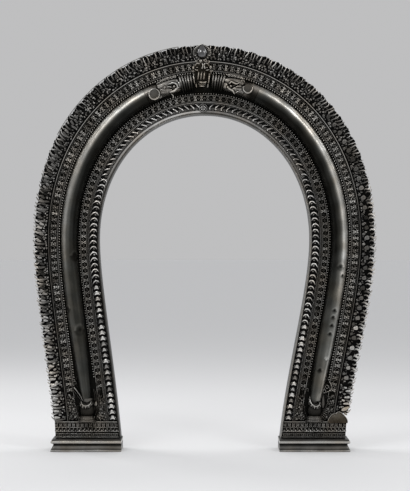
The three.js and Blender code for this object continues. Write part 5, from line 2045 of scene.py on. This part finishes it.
# The room's colours: as it is seen, as it lights the object, and the floor's
SEEN = (0.52, 0.52, 0.5252, 1)
LIT = (0.66, 0.665, 0.675, 1)
FLOOR = (0.78, 0.78, 0.785, 1)
FLOOR_RADIUS = 40

# The lamps: where each stands, what it points at, its width and height, and its power in watts
LAMPS = {
    "overhead": ((0.0, 0.45, 1.9), (0, 0, 0.95), (1.3, 0.3), 4),
    "shoulder_left": ((-1.7, -1.5, 2.1), (-0.3, 0, 0.75), (0.5, 0.5), 2.4),
    "shoulder_right": ((1.7, -1.5, 2.1), (0.3, 0, 0.75), (0.5, 0.5), 2.4),
    "upper_left": ((-1.3, 0.4, 1.6), (0, 0, 0.7), (0.4, 0.8), 5),
    "upper_right": ((1.3, 0.4, 1.6), (0, 0, 0.7), (0.7, 0.8), 5),
    "front_left": ((-0.9, -1.3, 2.2), (0, 0, 0.7), (0.8, 0.5), 7),
    "front_right": ((1.2, -1.1, 1.9), (0, 0, 0.7), (0.3, 0.7), 3),
    "key_right": ((2.0, -1.4, 0.9), (0, 0, 0.55), (0.9, 1.3), 2.5),
    "rim_left": ((-1.8, 1.2, 1.3), (0, 0, 0.5), (0.35, 1.0), 6),
}
CAMERA_AT = (0.001, -3.008, 0.491)
FOCAL_LENGTH = 91.7


def pale_world():
    """The camera, gloss and clear surfaces see a pale room, which lights the object a little less."""
    world = bpy.data.worlds.new("room")
    bpy.context.scene.world = world
    world.use_nodes = True
    tree = world.node_tree
    tree.nodes.clear()
    rays = add_node(tree, "LightPath").outputs
    seen = rays["Is Camera Ray"]
    for kind in ("Is Glossy Ray", "Is Transmission Ray"):
        seen = add_node(tree, "Math", {0: seen, 1: rays[kind]}, operation="MAXIMUM").outputs[0]
    pale = add_node(tree, "Background", {"Color": SEEN, "Strength": 1.0})
    light = add_node(tree, "Background", {"Color": LIT, "Strength": 1.0})
    both = add_node(tree, "MixShader", {0: seen, 1: light.outputs[0], 2: pale.outputs[0]})
    output = add_node(tree, "OutputWorld")
    tree.links.new(both.outputs[0], output.inputs["Surface"])


def pale_floor():
    material, tree, shader = new_material("pale_floor")
    shader.inputs["Base Color"].default_value = FLOOR
    shader.inputs["Roughness"].default_value = 0.9
    bpy.ops.mesh.primitive_circle_add(vertices=96, radius=FLOOR_RADIUS, fill_type="NGON", location=(0, 0, 0))
    floor = bpy.context.active_object
    floor.name = "floor"
    floor.data.materials.append(material)


def softbox(name, location, target, size, power):
    lamp = bpy.data.lights.new(name, "AREA")
    lamp.shape = "RECTANGLE"
    lamp.size, lamp.size_y = size
    lamp.energy = power
    holder = bpy.data.objects.new(name, lamp)
    holder.location = location
    aim = Vector(target) - Vector(location)
    holder.rotation_euler = aim.to_track_quat("-Z", "Y").to_euler()
    bpy.context.scene.collection.objects.link(holder)


def front_camera():
    lens = bpy.data.cameras.new("camera")
    lens.lens = FOCAL_LENGTH
    camera = bpy.data.objects.new("camera", lens)
    camera.location = CAMERA_AT
    camera.rotation_euler = (math.pi / 2, 0, 0)
    bpy.context.scene.collection.objects.link(camera)
    bpy.context.scene.camera = camera


pale_world()
pale_floor()
for name, lamp in LAMPS.items():
    softbox(name, *lamp)
front_camera()
bpy.context.scene.view_settings.view_transform = "Standard"
